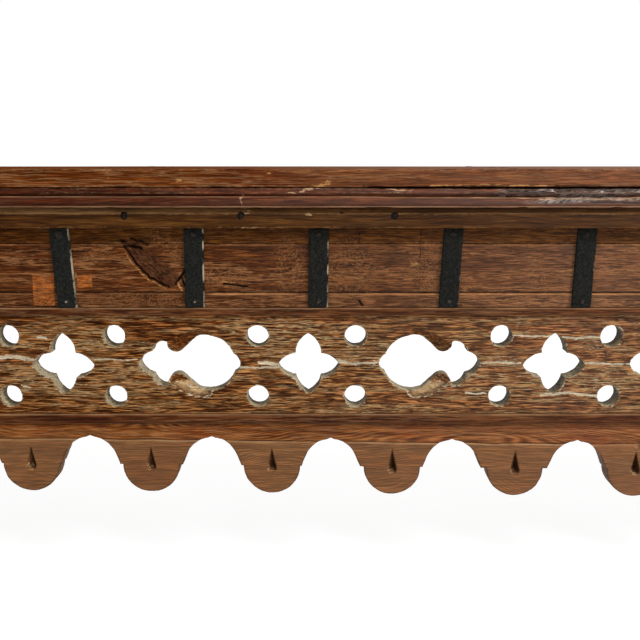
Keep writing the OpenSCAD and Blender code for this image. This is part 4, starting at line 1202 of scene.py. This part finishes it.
def piercedBoard(name, node, look, depthAt, densePlaces, creases=(), warp=None):
    # a board with openings: a front and a back of Delaunay triangles between its outlines, and a wall for
    # each outline. Creases are closed lines that the front follows without being open there
    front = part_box(node)[0].y
    outlines = boardOutlines(node, warp)
    low, high = outlines[0].min(0), outlines[0].max(0)
    lines, inwards = zip(*[handCut(line, node, look) for line in outlines])
    samples = np.concatenate(lines)
    inner = innerPoints(lines, inwards, low, high, look, densePlaces)
    creases = [cutFine(line, boardLook["creaseStep"] * mm) for line in creases]
    points = np.concatenate([samples] + creases + [inner])
    flat, faces = fillFlat(points, loopEdges([*lines, *creases]), lines, 1)
    y, marks = boardFront(flat, samples, front, look, depthAt)
    marks.update(wall=0 * y, dust=0 * y)
    points = [np.stack([flat[:, 0], y, flat[:, 1]], axis=1)]
    allFaces = faces.tolist()
    allMarks = [marks]
    count = len(flat)
    for line, inward in zip(lines, inwards):
        y, marks = boardFront(line, samples, front, look, depthAt)
        grid, marks = boardWall(line, inward, y, marks, look)
        points.append(grid.reshape(-1, 3))
        allFaces += ringQuads(len(grid), len(line), count).tolist()
        allMarks.append(marks)
        count += len(points[-1])
    flat, faces = fillFlat(samples, loopEdges(lines), lines, -1)
    points.append(np.stack([flat[:, 0], np.full(len(flat), boardBack), flat[:, 1]], axis=1))
    allFaces += (faces + count).tolist()
    allMarks.append({key: np.zeros(len(flat)) for key in marks})
    marks = {key: np.concatenate([part[key].ravel() for part in allMarks]) for key in marks}
    piece = makePiece(name, np.concatenate(points), allFaces, marks, smoothAngle=45)
    work = mergedCopy(piece.data, 2e-6)
    work.to_mesh(piece.data)
    work.free()
    piece.data.shade_smooth()
    piece.data.set_sharp_from_angle(angle=math.radians(45))
    return piece


# Fretwork: spoon cuts thin the two tongues of each lobed opening, and the fibres are chipped at its points.
# In mm, the strengths of raw places as shares
fretLook = {"wobble": 0.8, "fine": 3.1, "coarse": 11.0, "arris": 1.1, "wave": 0.35, "edgeWear": 0.9,
            "wallWave": 0.5, "straightFoot": True, "spoonMiddle": (2.3, 23.8), "spoonHalf": (26.5, 11.5),
            "spoonTurn": -24.5, "spoonDepth": 10, "bowl": 0.8, "rimHalf": 0.07, "openingArea": 3600,
            "offMiddle": 2.25, "strayX": 1.5, "strayZ": 0.9, "crackRaw": 1.28, "crackDepth": 0.2,
            "fleckRaw": 0.34, "rimRaw": 0.95, "lowerRaw": 0.55, "chipTo": 2.8, "denseReach": 450,
            "denseHalf": (36, 16), "denseUp": 25, "denseStep": 1.5, "crackMargin": 3, "crackStep": 0.9}
# old cracks along the grain, their lips paled by dust: points in millimetres and width
fretCracks = {
    "far left": ([(-372, 262.5), (-330, 261.3), (-308, 258)], 3.4),
    "left middle": ([(-239, 258.9), (-214, 258.4), (-190, 258.6)], 1.2),
    "left of the middle": ([(-78, 249.8), (-55, 249.3), (-33, 249.6)], 1.6),
    "left tip": ([(-54, 254.8), (-36, 253)], 3.0),
    "right tip": ([(34, 257), (44, 254.5)], 3.2),
    "right of the middle": ([(44, 253.4), (62, 254), (80, 256)], 2.0),
    "right middle": ([(192, 255), (216, 254.8), (239, 254.2)], 2.0),
    "far right": ([(311, 254.2), (336, 253.4), (364, 252.6)], 1.8),
    "upper right": ([(229, 285.6), (250, 285), (272, 285.2)], 1.6),
    "upper far right": ([(285, 285), (300, 282.6), (312, 283.8), (328, 283.4)], 2.2),
    "lower right": ([(262, 217.6), (281, 219.6), (290, 220.4), (318, 216.2), (326, 215.8)], 2.4),
    "lower middle": ([(178, 219.8), (200, 219)], 2.0),
    "by the left hole": ([(-322, 228.5), (-312, 226)], 1.6),
    "above the left": ([(-300, 284), (-292, 283)], 2.4),
}
fretFlecks = {
    "left": (-290, 254, 22, 6, 0),
    "left of the middle": (-46, 255, 16, 5, 0),
    "right of the middle": (62, 255, 24, 7, 0),
    "low right": (150, 232, 28, 9, 0),
    "right": (226, 256, 22, 6, 0),
    "far right": (336, 232, 26, 22, 0),
    "far right top": (330, 276, 26, 12, 0),
}


def openingPlaces():
    # the lobed openings are the large outlines. Their round lobe is the highest: it tells which way they lie
    places = []
    for line in faceLoops("fretwork_board", boardBack):
        area = abs(signedArea(line)) / mm ** 2
        if fretLook["openingArea"] < area < 10 * fretLook["openingArea"]:
            middle = (line[:, 0].min() + line[:, 0].max()) / 2 / mm
            side = math.copysign(1, line[line[:, 1].argmax(), 0] / mm - middle)
            places.append((middle - side * fretLook["offMiddle"], side))
    return places


openings = openingPlaces()


def spoonCuts(x, z):
    # the depth of the spoon cuts, an ellipse each with a bowl of 1 - e * e, and for the lower one of each
    # pair, which is pale inside, partly raw wood and partly painted light as it faces up, its rim and its
    # inside
    look = fretLook
    depth, rim, lower = 0 * x, 0 * x, 0 * x
    c, s = math.cos(math.radians(look["spoonTurn"])), math.sin(math.radians(look["spoonTurn"]))
    for middle, side in openings:
        u = (x - middle) * side - look["spoonMiddle"][0]
        for up in (-1, 1):
            v = z * up + look["spoonMiddle"][1]
            e = np.hypot((u * c + v * s) / look["spoonHalf"][0], (v * c - u * s) / look["spoonHalf"][1])
            bowl = np.clip(1 - e * e, 0, 1)
            depth = np.maximum(depth, look["spoonDepth"] * mm * bowl ** look["bowl"])
            if up > 0:
                lower = np.maximum(lower, np.clip(1.6 * bowl, 0, 1) * (v < 0.2 * look["spoonHalf"][1]))
                rim = np.maximum(rim, levelMark(e, 1.0, look["rimHalf"]))
    return depth, rim, lower


def fretDepth(xz, edgeDistance):
    # the spoon cuts and the cracks, and raw wood there, on the flecks and in a ring round each opening, with
    # painted light in the lower spoon cuts and painted shade in the upper ones
    look = fretLook
    place = np.stack([xz[:, 0], 0 * xz[:, 0], xz[:, 1]], axis=1)
    depth, rim, lower = spoonCuts(xz[:, 0] / mm, (xz[:, 1] - foilLevel) / mm)
    x = xz[:, 0] / mm + look["strayX"] * softNoise(place, (0.012, 1, 0.01), 26)
    z = xz[:, 1] / mm + look["strayZ"] * softNoise(place, (0.009, 1, 0.02), 27)
    line = lineMarks(x, z, fretCracks)
    flecks = placeMarks(x, z, fretFlecks, 0.5)
    chips = ramp(softNoise(place, (0.012, 1, 0.006), 28), -0.3, 0.8)
    ring = (0.3 + 0.5 * chips) * (1 - ramp(edgeDistance, 0.6 * mm, look["chipTo"] * mm))
    raw = np.maximum.reduce([look["crackRaw"] * line, look["fleckRaw"] * flecks, look["rimRaw"] * rim, ring,
                             look["lowerRaw"] * lower])
    # painted light of the lower spoon cuts in the line mark, painted shade of the upper ones in the carved
    # mark
    return depth + look["crackDepth"] * mm * line, {
        "raw": raw, "line": lower, "carved": ramp(depth, 0.2 * mm, 1.0 * mm) * (1 - lower)}


def fretDense():
    # more points where the tongues are cut in view, and round each crack: X and Z limits and the step
    look = fretLook
    halfX, halfZ = look["denseHalf"]
    dense = []
    for middle, side in openings:
        for up in (-1, 1):
            level = foilLevel + up * look["denseUp"] * mm
            left, right = (middle - halfX) * mm, (middle + halfX) * mm
            if abs(middle) < look["denseReach"]:
                dense.append((left, right, level - halfZ * mm, level + halfZ * mm, look["denseStep"] * mm))
    for line, width in fretCracks.values():
        ends = np.array(line) * mm
        low, high = ends.min(0) - look["crackMargin"] * mm, ends.max(0) + look["crackMargin"] * mm
        dense.append((low[0], high[0], low[1], high[1], look["crackStep"] * mm))
    return dense


piece = piercedBoard("pierced_fretwork", "fretwork_board", fretLook, fretDepth, fretDense())
settle(piece, "fretwork_board", "fret_wood")
print("fretwork", len(piece.data.polygons))

# Apron: a scribed line, teardrop cuts that deepen downwards, and edges softened by wear. In mm, below its
# top or below the scribed line
apronLook = {"wobble": 0.6, "fine": 3.0, "coarse": 9.0, "arris": 1.2, "wave": 0.3, "edgeWear": 0.6,
             "wallWave": 0.4, "straightFoot": False, "scribeBelow": 21.5, "scribeWidth": 0.9,
             "scribeDepth": 0.9, "lipBelow": 1.0, "shadeAbove": 0.7, "lineHalf": 0.7, "lobesBelow": 12,
             "dropArea": 400, "dropPitch": 1.7, "dropStep": 0.8, "sag": 3.8, "sagFrom": 6, "sagFull": 16,
             "denseBand": (16, 29), "denseStep": 0.9}


def sagAt(x):
    # the hand-cut lobes and the scribed line run down a little to the right of the middle: a sine over the
    # length
    return apronLook["sag"] * mm * np.sin(math.pi * x / halfLength)


def sagged(line):
    # a copy of an outline with the sag, which fades out towards the board's top
    fade = ramp(apronHigh.z - line[:, 1], apronLook["sagFrom"] * mm, apronLook["sagFull"] * mm)
    return np.stack([line[:, 0], line[:, 1] - sagAt(line[:, 0]) * fade], axis=1)


# the teardrops are the small outlines cut in the apron's front face
teardrops = [sagged(line) for line in faceLoops("scalloped_apron", apronLow.y)
             if abs(signedArea(line)) < apronLook["dropArea"] * mm * mm]
dropSamples = np.concatenate([cutFine(line, apronLook["dropStep"] * mm) for line in teardrops])


def dropMarks(xz, rim):
    # inside a teardrop the right wall is painted in shade, and the foot of the cut is painted pale as a lit
    # ledge. Returns where the teardrops are, their painted shade and their painted ledge light
    inside, shade, paintedLedgeLight = np.zeros(len(xz), bool), np.zeros(len(xz)), np.zeros(len(xz))
    for line in teardrops:
        here = insideLine(xz, line)
        low, high = line.min(0), line.max(0)
        up = (xz[:, 1] - low[1]) / (high[1] - low[1])
        right = (xz[:, 0] - (low[0] + high[0]) / 2) / mm
        foot = 1 - ramp(up + 0.03 * right, 0.12, 0.24)
        inside |= here
        shade += here * (0.3 + 0.6 * ramp(right, -1.2, 0.8)) * (1 - foot) * ramp(rim, 0.2 * mm, 1.2 * mm)
        paintedLedgeLight += 0.5 * here * foot
    return inside, shade, paintedLedgeLight


def apronDepth(xz, edgeDistance):
    # the scribed line is a small groove with painted shade above it, and its lower lip gets a painted
    # highlight. The lobes' edges get a thin painted shade. A teardrop's walls slope in at an even pitch from
    # its outline, so it is deepest where it is widest
    look = apronLook
    place = np.stack([xz[:, 0], 0 * xz[:, 0], xz[:, 1]], axis=1)
    below = (apronHigh.z - xz[:, 1] - sagAt(xz[:, 0])) / mm - look["scribeBelow"]
    below = below + 0.7 * softNoise(place, (0.03, 1, 1), 29)
    groove = look["scribeDepth"] * mm * levelMark(below, 0, look["scribeWidth"])
    lip = levelMark(below, look["lipBelow"], look["lineHalf"])
    scribeShade = 0.75 * levelMark(below, -look["shadeAbove"], look["lineHalf"])
    lobeEdgeShade = 0.5 * (1 - ramp(edgeDistance, 0.5 * mm, 1.6 * mm)) * (below > look["lobesBelow"])
    rim = nearestDistance(xz, dropSamples)
    inside, shade, paintedLedgeLight = dropMarks(xz, rim)
    # painted light and shade in the marks: the teardrops' lit ledge in raw, the scribed lip's highlight in
    # line, and the shade of the lobes' edges, of the teardrops' right walls and above the scribed line in
    # crack
    return groove + look["dropPitch"] * rim * inside, {
        "line": 1.2 * lip, "raw": paintedLedgeLight, "carved": ramp(below, -1, 2),
        "crack": np.maximum.reduce([lobeEdgeShade, shade, scribeShade])}


bandTop, bandFoot = (apronHigh.z - value * mm for value in apronLook["denseBand"])
dense = [(-viewHalf, viewHalf, bandFoot, bandTop, apronLook["denseStep"] * mm)]
for line in teardrops:
    (left, foot), (right, top) = line.min(0), line.max(0)
    dense.append((left, right, foot, top, apronLook["denseStep"] * mm))
piece = piercedBoard("carved_apron", "scalloped_apron", apronLook, apronDepth, dense, teardrops, sagged)
settle(piece, "scalloped_apron", "apron_wood")
print("apron", len(piece.data.polygons))


# Straps and nails
strapLook = {"rounded": 1.2, "dents": 0.55, "endDrop": 0.9, "endReach": 1.6, "sideWave": 0.35, "levels": 90,
             "brightBelow": 20, "bright": 1.3, "dull": 0.6}


def hammeredStrap(node, seed):
    # a closed rectangle section in X and Y carried up Z, leaned as its CAD node is, with hammer dents. The
    # right edge is made paler here and there, more on the straps from the left to the middle
    look = strapLook
    low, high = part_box(node)
    verts = np.array([v.co for v in nodes[node].data.vertices])
    topX = verts[verts[:, 2] > high.z - 2 * mm, 0]
    bottomX = verts[verts[:, 2] < low.z + 2 * mm, 0]
    middleTop = (topX.min() + topX.max()) / 2
    middleBottom = (bottomX.min() + bottomX.max()) / 2
    half = (bottomX.max() - bottomX.min()) / 2
    corners = [(half, high.y), (-half, high.y), (-half, low.y), (half, low.y)]
    section, edge = roundedSection(corners, inMm(0, 0, look["rounded"], look["rounded"]), inMm(6, 3, 0.9, 3))
    levels = np.linspace(low.z + 0.2 * mm, high.z - 0.2 * mm, look["levels"])
    t = ((levels - low.z) / (high.z - low.z))[:, None]
    x = section[None, :, 0] + middleBottom + (middleTop - middleBottom) * t
    points = np.stack([x, section[None, :, 1] + 0 * t, levels[:, None] + 0 * x], axis=-1)
    normal = closedNormals(section)
    edge = np.broadcast_to(edge, x.shape)
    side = np.sign(section[None, :, 0])
    ends = 1 - ramp(np.minimum(levels - levels[0], levels[-1] - levels), 0, look["endReach"] * mm)[:, None]
    front = (section[None, :, 1] < high.y - 0.6 * mm) + 0 * x
    dents = noiseShare(points, (0.004, 0.004, 0.004), seed)
    depth = mm * front * (look["dents"] * dents * (0.4 + edge) + look["endDrop"] * ends ** 2)
    wave = look["sideWave"] * mm * softNoise(points, (1, 1, 0.012), seed + 1) * (edge > 0.3)
    points[..., 0] -= normal[:, 0] * depth + np.abs(wave) * side
    points[..., 1] -= normal[:, 1] * depth
    paleShare = look["bright"] if low.x < look["brightBelow"] * mm else look["dull"]
    paleShare = paleShare * (0.6 + 0.6 * softNoise(points, (1, 1, 0.009), seed + 2))
    wear = np.maximum(np.clip(1.7 * edge - 0.8, 0, 1), 0.5 * ends)
    wear = np.clip(wear * paleShare, 0, 1) * (0.52 + 0.48 * side)
    marks = {"wear": wear.reshape(-1)}
    return makePiece("hammered_" + node, points.reshape(-1, 3), tubeFaces(*x.shape), marks, smoothAngle=50)


for number in range(1, 14):
    node = "iron_strap_%02d" % number
    settle(hammeredStrap(node, 200 + 3 * number), node, "strap_iron")
print("straps")

# Nails and pegs, in mm. The nail nearest to one place along X is larger than the others
nailLook = {"radius": 3.4, "proud": 1.6, "pegRadius": 4.4, "pegProud": 0.6, "pegDeep": 0.7, "rim": 0.6,
            "largeAt": -263, "largeNear": 30, "large": 1.35, "small": 0.9, "dome": 2.4, "dent": 0.25,
            "turns": 20, "rings": 7}


def domedHeads(name, places, radii, proud, seed, bright):
    # low domes that face -Y: height is proud * (1 - (r/radius)^2.4), made a little out of round and dented.
    # places are the middles of the heads on their surface, bright is how pale each head is made towards its
    # top, which on the nails is a painted highlight
    turns, rings = nailLook["turns"], nailLook["rings"]
    angle = np.linspace(0, 2 * math.pi, turns, endpoint=False)
    share = np.linspace(0, 1, rings)[1:]
    points = []
    faces = []
    wear = []
    count = 0
    for index, (x, y, z) in enumerate(places):
        around = 1 + 0.09 * np.sin(2 * angle + index) + 0.05 * np.sin(5 * angle + 2 * index)
        r = radii[index] * share[:, None] * around[None, :]
        up = proud * (1 - share ** nailLook["dome"])[:, None] + 0 * r
        body = np.stack([x + r * np.cos(angle), y - up, z + r * np.sin(angle)], axis=-1).reshape(-1, 3)
        rimY = 0 * angle + y + nailLook["rim"] * mm
        rim = np.stack([x + r[-1] * np.cos(angle), rimY, z + r[-1] * np.sin(angle)], axis=1)
        head = np.concatenate([[(x, y - proud, z)], body, rim])
        head[:, 1] += nailLook["dent"] * mm * softNoise(head, (0.0022, 0.0022, 0.0022), seed + index) ** 2
        points.append(head)
        first = count + 1
        faces += [(count, first + j, first + (j + 1) % turns) for j in range(turns)]
        faces += ringQuads(rings, turns, first)[:, [0, 3, 2, 1]].tolist()
        faces.append(tuple(first + (rings - 1) * turns + j for j in range(turns)))
        wear += list(bright[index] * np.concatenate([[0.9], np.repeat(1 - share, turns), np.zeros(turns)]))
        count += len(head)
    return makePiece(name, np.concatenate(points), faces, {"wear": np.array(wear)}, 60)


def headPlaces(node):
    # the middle of every separate solid of a CAD node, at its front
    work = mergedCopy(nodes[node].data)
    seen = set()
    places = []
    for start in work.verts:
        if start in seen:
            continue
        seen.add(start)
        stack = [start]
        island = []
        while stack:
            vert = stack.pop()
            island.append(vert.co.copy())
            linked = [link.other_vert(vert) for link in vert.link_edges]
            fresh = [other for other in linked if other not in seen]
            seen.update(fresh)
            stack += fresh
        spots = np.array(island)
        front = spots[:, 1].min()
        tip = spots[spots[:, 1] < front + 3 * mm]
        low, high = tip.min(0), tip.max(0)
        places.append(((low[0] + high[0]) / 2, front, (low[2] + high[2]) / 2))
    work.free()
    return places


def nailRadius(x, isUpper):
    # the radius of a nail's head: one upper nail near the chosen place is larger
    large = isUpper and abs(x - nailLook["largeAt"] * mm) < nailLook["largeNear"] * mm
    return nailLook["radius"] * mm * nailLook["large" if large else "small"]


def nailBright(x, isUpper):
    # the upper nails are black like the straps; the lower ones get a pale painted highlight, strongest on the
    # left
    if isUpper:
        return 0.1
    return 1.0 if x < -0.1 else 0.6


proud = nailLook["proud"] * mm
for node, name in (("strap_nails", "strap_nail_heads"), ("board_nails", "board_nail_heads")):
    places = [(x, y + proud, z) for x, y, z in headPlaces(node)]
    upper = [z > (friezeLow.z + friezeHigh.z) / 2 for x, y, z in places]
    radii = [nailRadius(x, up) for up, (x, y, z) in zip(upper, places)]
    bright = [nailBright(x, up) for up, (x, y, z) in zip(upper, places)]
    settle(domedHeads(name, places, radii, proud, 300, bright), node, "nail_iron")
places = [(x, y + nailLook["pegDeep"] * mm, z) for x, y, z in headPlaces("fascia_pegs")]
piece = domedHeads("fascia_peg_faces", places, [nailLook["pegRadius"] * mm] * len(places),
                   nailLook["pegProud"] * mm, 400, [1.0] * len(places))
settle(piece, "fascia_pegs", "dark_peg")
print("nails and pegs")


# Everything else keeps its CAD shape, with its edges softened
def softened(node, width, slot, finish):
    # a merged copy of a CAD node with its sharp edges bevelled and marked as worn
    work = mergedCopy(nodes[node].data)
    bmesh.ops.dissolve_limit(work, angle_limit=math.radians(1), verts=work.verts, edges=work.edges)
    sharp = [e for e in work.edges if e.is_manifold and e.calc_face_angle(0) > math.radians(35)
             and e.calc_length() > 12 * mm]
    made = bmesh.ops.bevel(work, geom=sharp, offset=width, segments=2, affect="EDGES", profile=0.6,
                           clamp_overlap=True)
    layer = work.verts.layers.float.new("wear")
    for face in made["faces"]:
        for vert in face.verts:
            vert[layer] = 0.8
    mesh = bpy.data.meshes.new("softened_" + node)
    work.to_mesh(mesh)
    work.free()
    mesh.shade_smooth()
    mesh.set_sharp_from_angle(angle=math.radians(30))
    settle(addObject("softened_" + node, mesh), node, slot, finish)


# slot and finish: the nodes and the width of their softened edges in mm
bevels = {
    ("cornice_wood", "cornice_wood"): (("left_bead_moulding", "right_bead_moulding"), 0.8),
    ("cornice_wood", "fascia_wood"): (("left_fascia", "right_fascia"), 0.8),
    ("frame_wood", "frame_wood"): (("front_rail", "back_rail", "left_end_rail", "right_end_rail",
                                    "seat_bearer_01", "seat_bearer_02", "seat_bearer_03",
                                    "seat_bearer_04"), 1.2),
    ("leg_wood", "leg_wood"): (("front_left_leg", "front_right_leg", "back_left_leg", "back_right_leg"), 1.4),
    ("patch_wood", "patch_wood"): (("frieze_patch_large", "frieze_patch_small"), 0.4),
}
for (slot, finish), (members, width) in bevels.items():
    for node in members:
        softened(node, width * mm, slot, finish)
# small pieces that keep their CAD mesh and only get a finish
plainNodes = {"seat_nails": "nail_iron", "tenon_pegs": "peg_wood", "fret_dowels": "peg_wood",
              "apron_dowels": "peg_wood"}
for node, finish in plainNodes.items():
    nodes[node].data.materials.clear()
    nodes[node].data.materials.append(materials[finish])
print("frame, legs and pegs")

# Floor, light and camera: a lamp is its place, its power in watts and its size, all in metres
studio = {"floor": (236, 234, 230), "floorHalf": 9, "faint": 0.28, "floorGlow": 0.86, "world": 0.5,
          "lampsLookAt": (0, 0, 0.3)}
lamps = {
    "key": ((2.7, -1.75, 2.2), 80, 1.0),
    "fill": ((-1.8, -2.0, 1.2), 6, 2.0),
    "back": ((0.4, 2.2, 2.2), 18, 2.0),
}
cameraLook = {"eye": (0.014, -1.138, 0.4785), "down": 10.08, "focal": 50.6, "sensor": 36.0}


def seenAsWhite(tree):
    # 1 for rays from the camera and for rays that left a glossy or a clear surface
    path = addNode(tree, "ShaderNodeLightPath").outputs
    shiny = mathNode(tree, "ADD", path["Is Glossy Ray"], path["Is Transmission Ray"], clamp=True)
    return mathNode(tree, "ADD", path["Is Camera Ray"], shiny, clamp=True)


def makeFloor():
    # a wide pale sheet. The camera sees it nearly white, and it keeps the bench's shadow
    half = studio["floorHalf"]
    mesh = bpy.data.meshes.new("floor")
    corners = [(-half, -half, 0), (half, -half, 0), (half, half, 0), (-half, half, 0)]
    mesh.from_pydata(corners, [], [(0, 1, 2, 3)])
    material, tree = newMaterial("pale floor")
    tree.nodes.clear()
    plain = addNode(tree, "ShaderNodeBsdfDiffuse", {"Color": screen(studio["floor"])})
    faint = addNode(tree, "ShaderNodeBsdfDiffuse", {"Color": (*[studio["faint"]] * 3, 1)})
    glow = addNode(tree, "ShaderNodeEmission", {"Color": (1, 1, 1, 1), "Strength": studio["floorGlow"]})
    seen = addNode(tree, "ShaderNodeAddShader", {0: faint.outputs[0], 1: glow.outputs[0]})
    chosen = addNode(tree, "ShaderNodeMixShader",
                     {0: seenAsWhite(tree), 1: plain.outputs[0], 2: seen.outputs[0]})
    addNode(tree, "ShaderNodeOutputMaterial", {"Surface": chosen.outputs[0]})
    floor = addObject("floor", mesh)
    floor.data.materials.append(material)


def makeWorld():
    # white to the camera and to reflections, a soft even light to everything else
    world = bpy.data.worlds.new("studio")
    world.use_nodes = True
    bpy.context.scene.world = world
    background = world.node_tree.nodes["Background"]
    strength = spread(world.node_tree, seenAsWhite(world.node_tree), 0, 1, studio["world"], 1.0)
    feed(world.node_tree, background.inputs["Strength"], strength)
    background.inputs["Color"].default_value = (1, 1, 1, 1)


def makeLamp(name, place, power, size):
    # a round lamp turned towards the bench
    lamp = bpy.data.lights.new(name, "AREA")
    lamp.energy = power
    lamp.shape = "DISK"
    lamp.size = size
    item = addObject(name, lamp)
    item.location = place
    toward = np.array(studio["lampsLookAt"]) - np.array(place)
    item.rotation_euler = (math.atan2(np.hypot(toward[0], toward[1]), -toward[2]), 0,
                           math.atan2(toward[1], toward[0]) - math.pi / 2)


def makeCamera():
    # the view of the photo: in front of the middle, above the seat, and tilted down
    lens = bpy.data.cameras.new("camera")
    lens.lens = cameraLook["focal"]
    lens.sensor_width = cameraLook["sensor"]
    lens.clip_start = 0.02
    camera = addObject("camera", lens)
    camera.location = cameraLook["eye"]
    camera.rotation_euler = (math.radians(90 - cameraLook["down"]), 0, 0)
    bpy.context.scene.camera = camera


makeFloor()
makeWorld()
for name, (place, power, size) in lamps.items():
    makeLamp(name, place, power, size)
makeCamera()
bpy.context.scene.view_settings.view_transform = "Standard"

print("done")
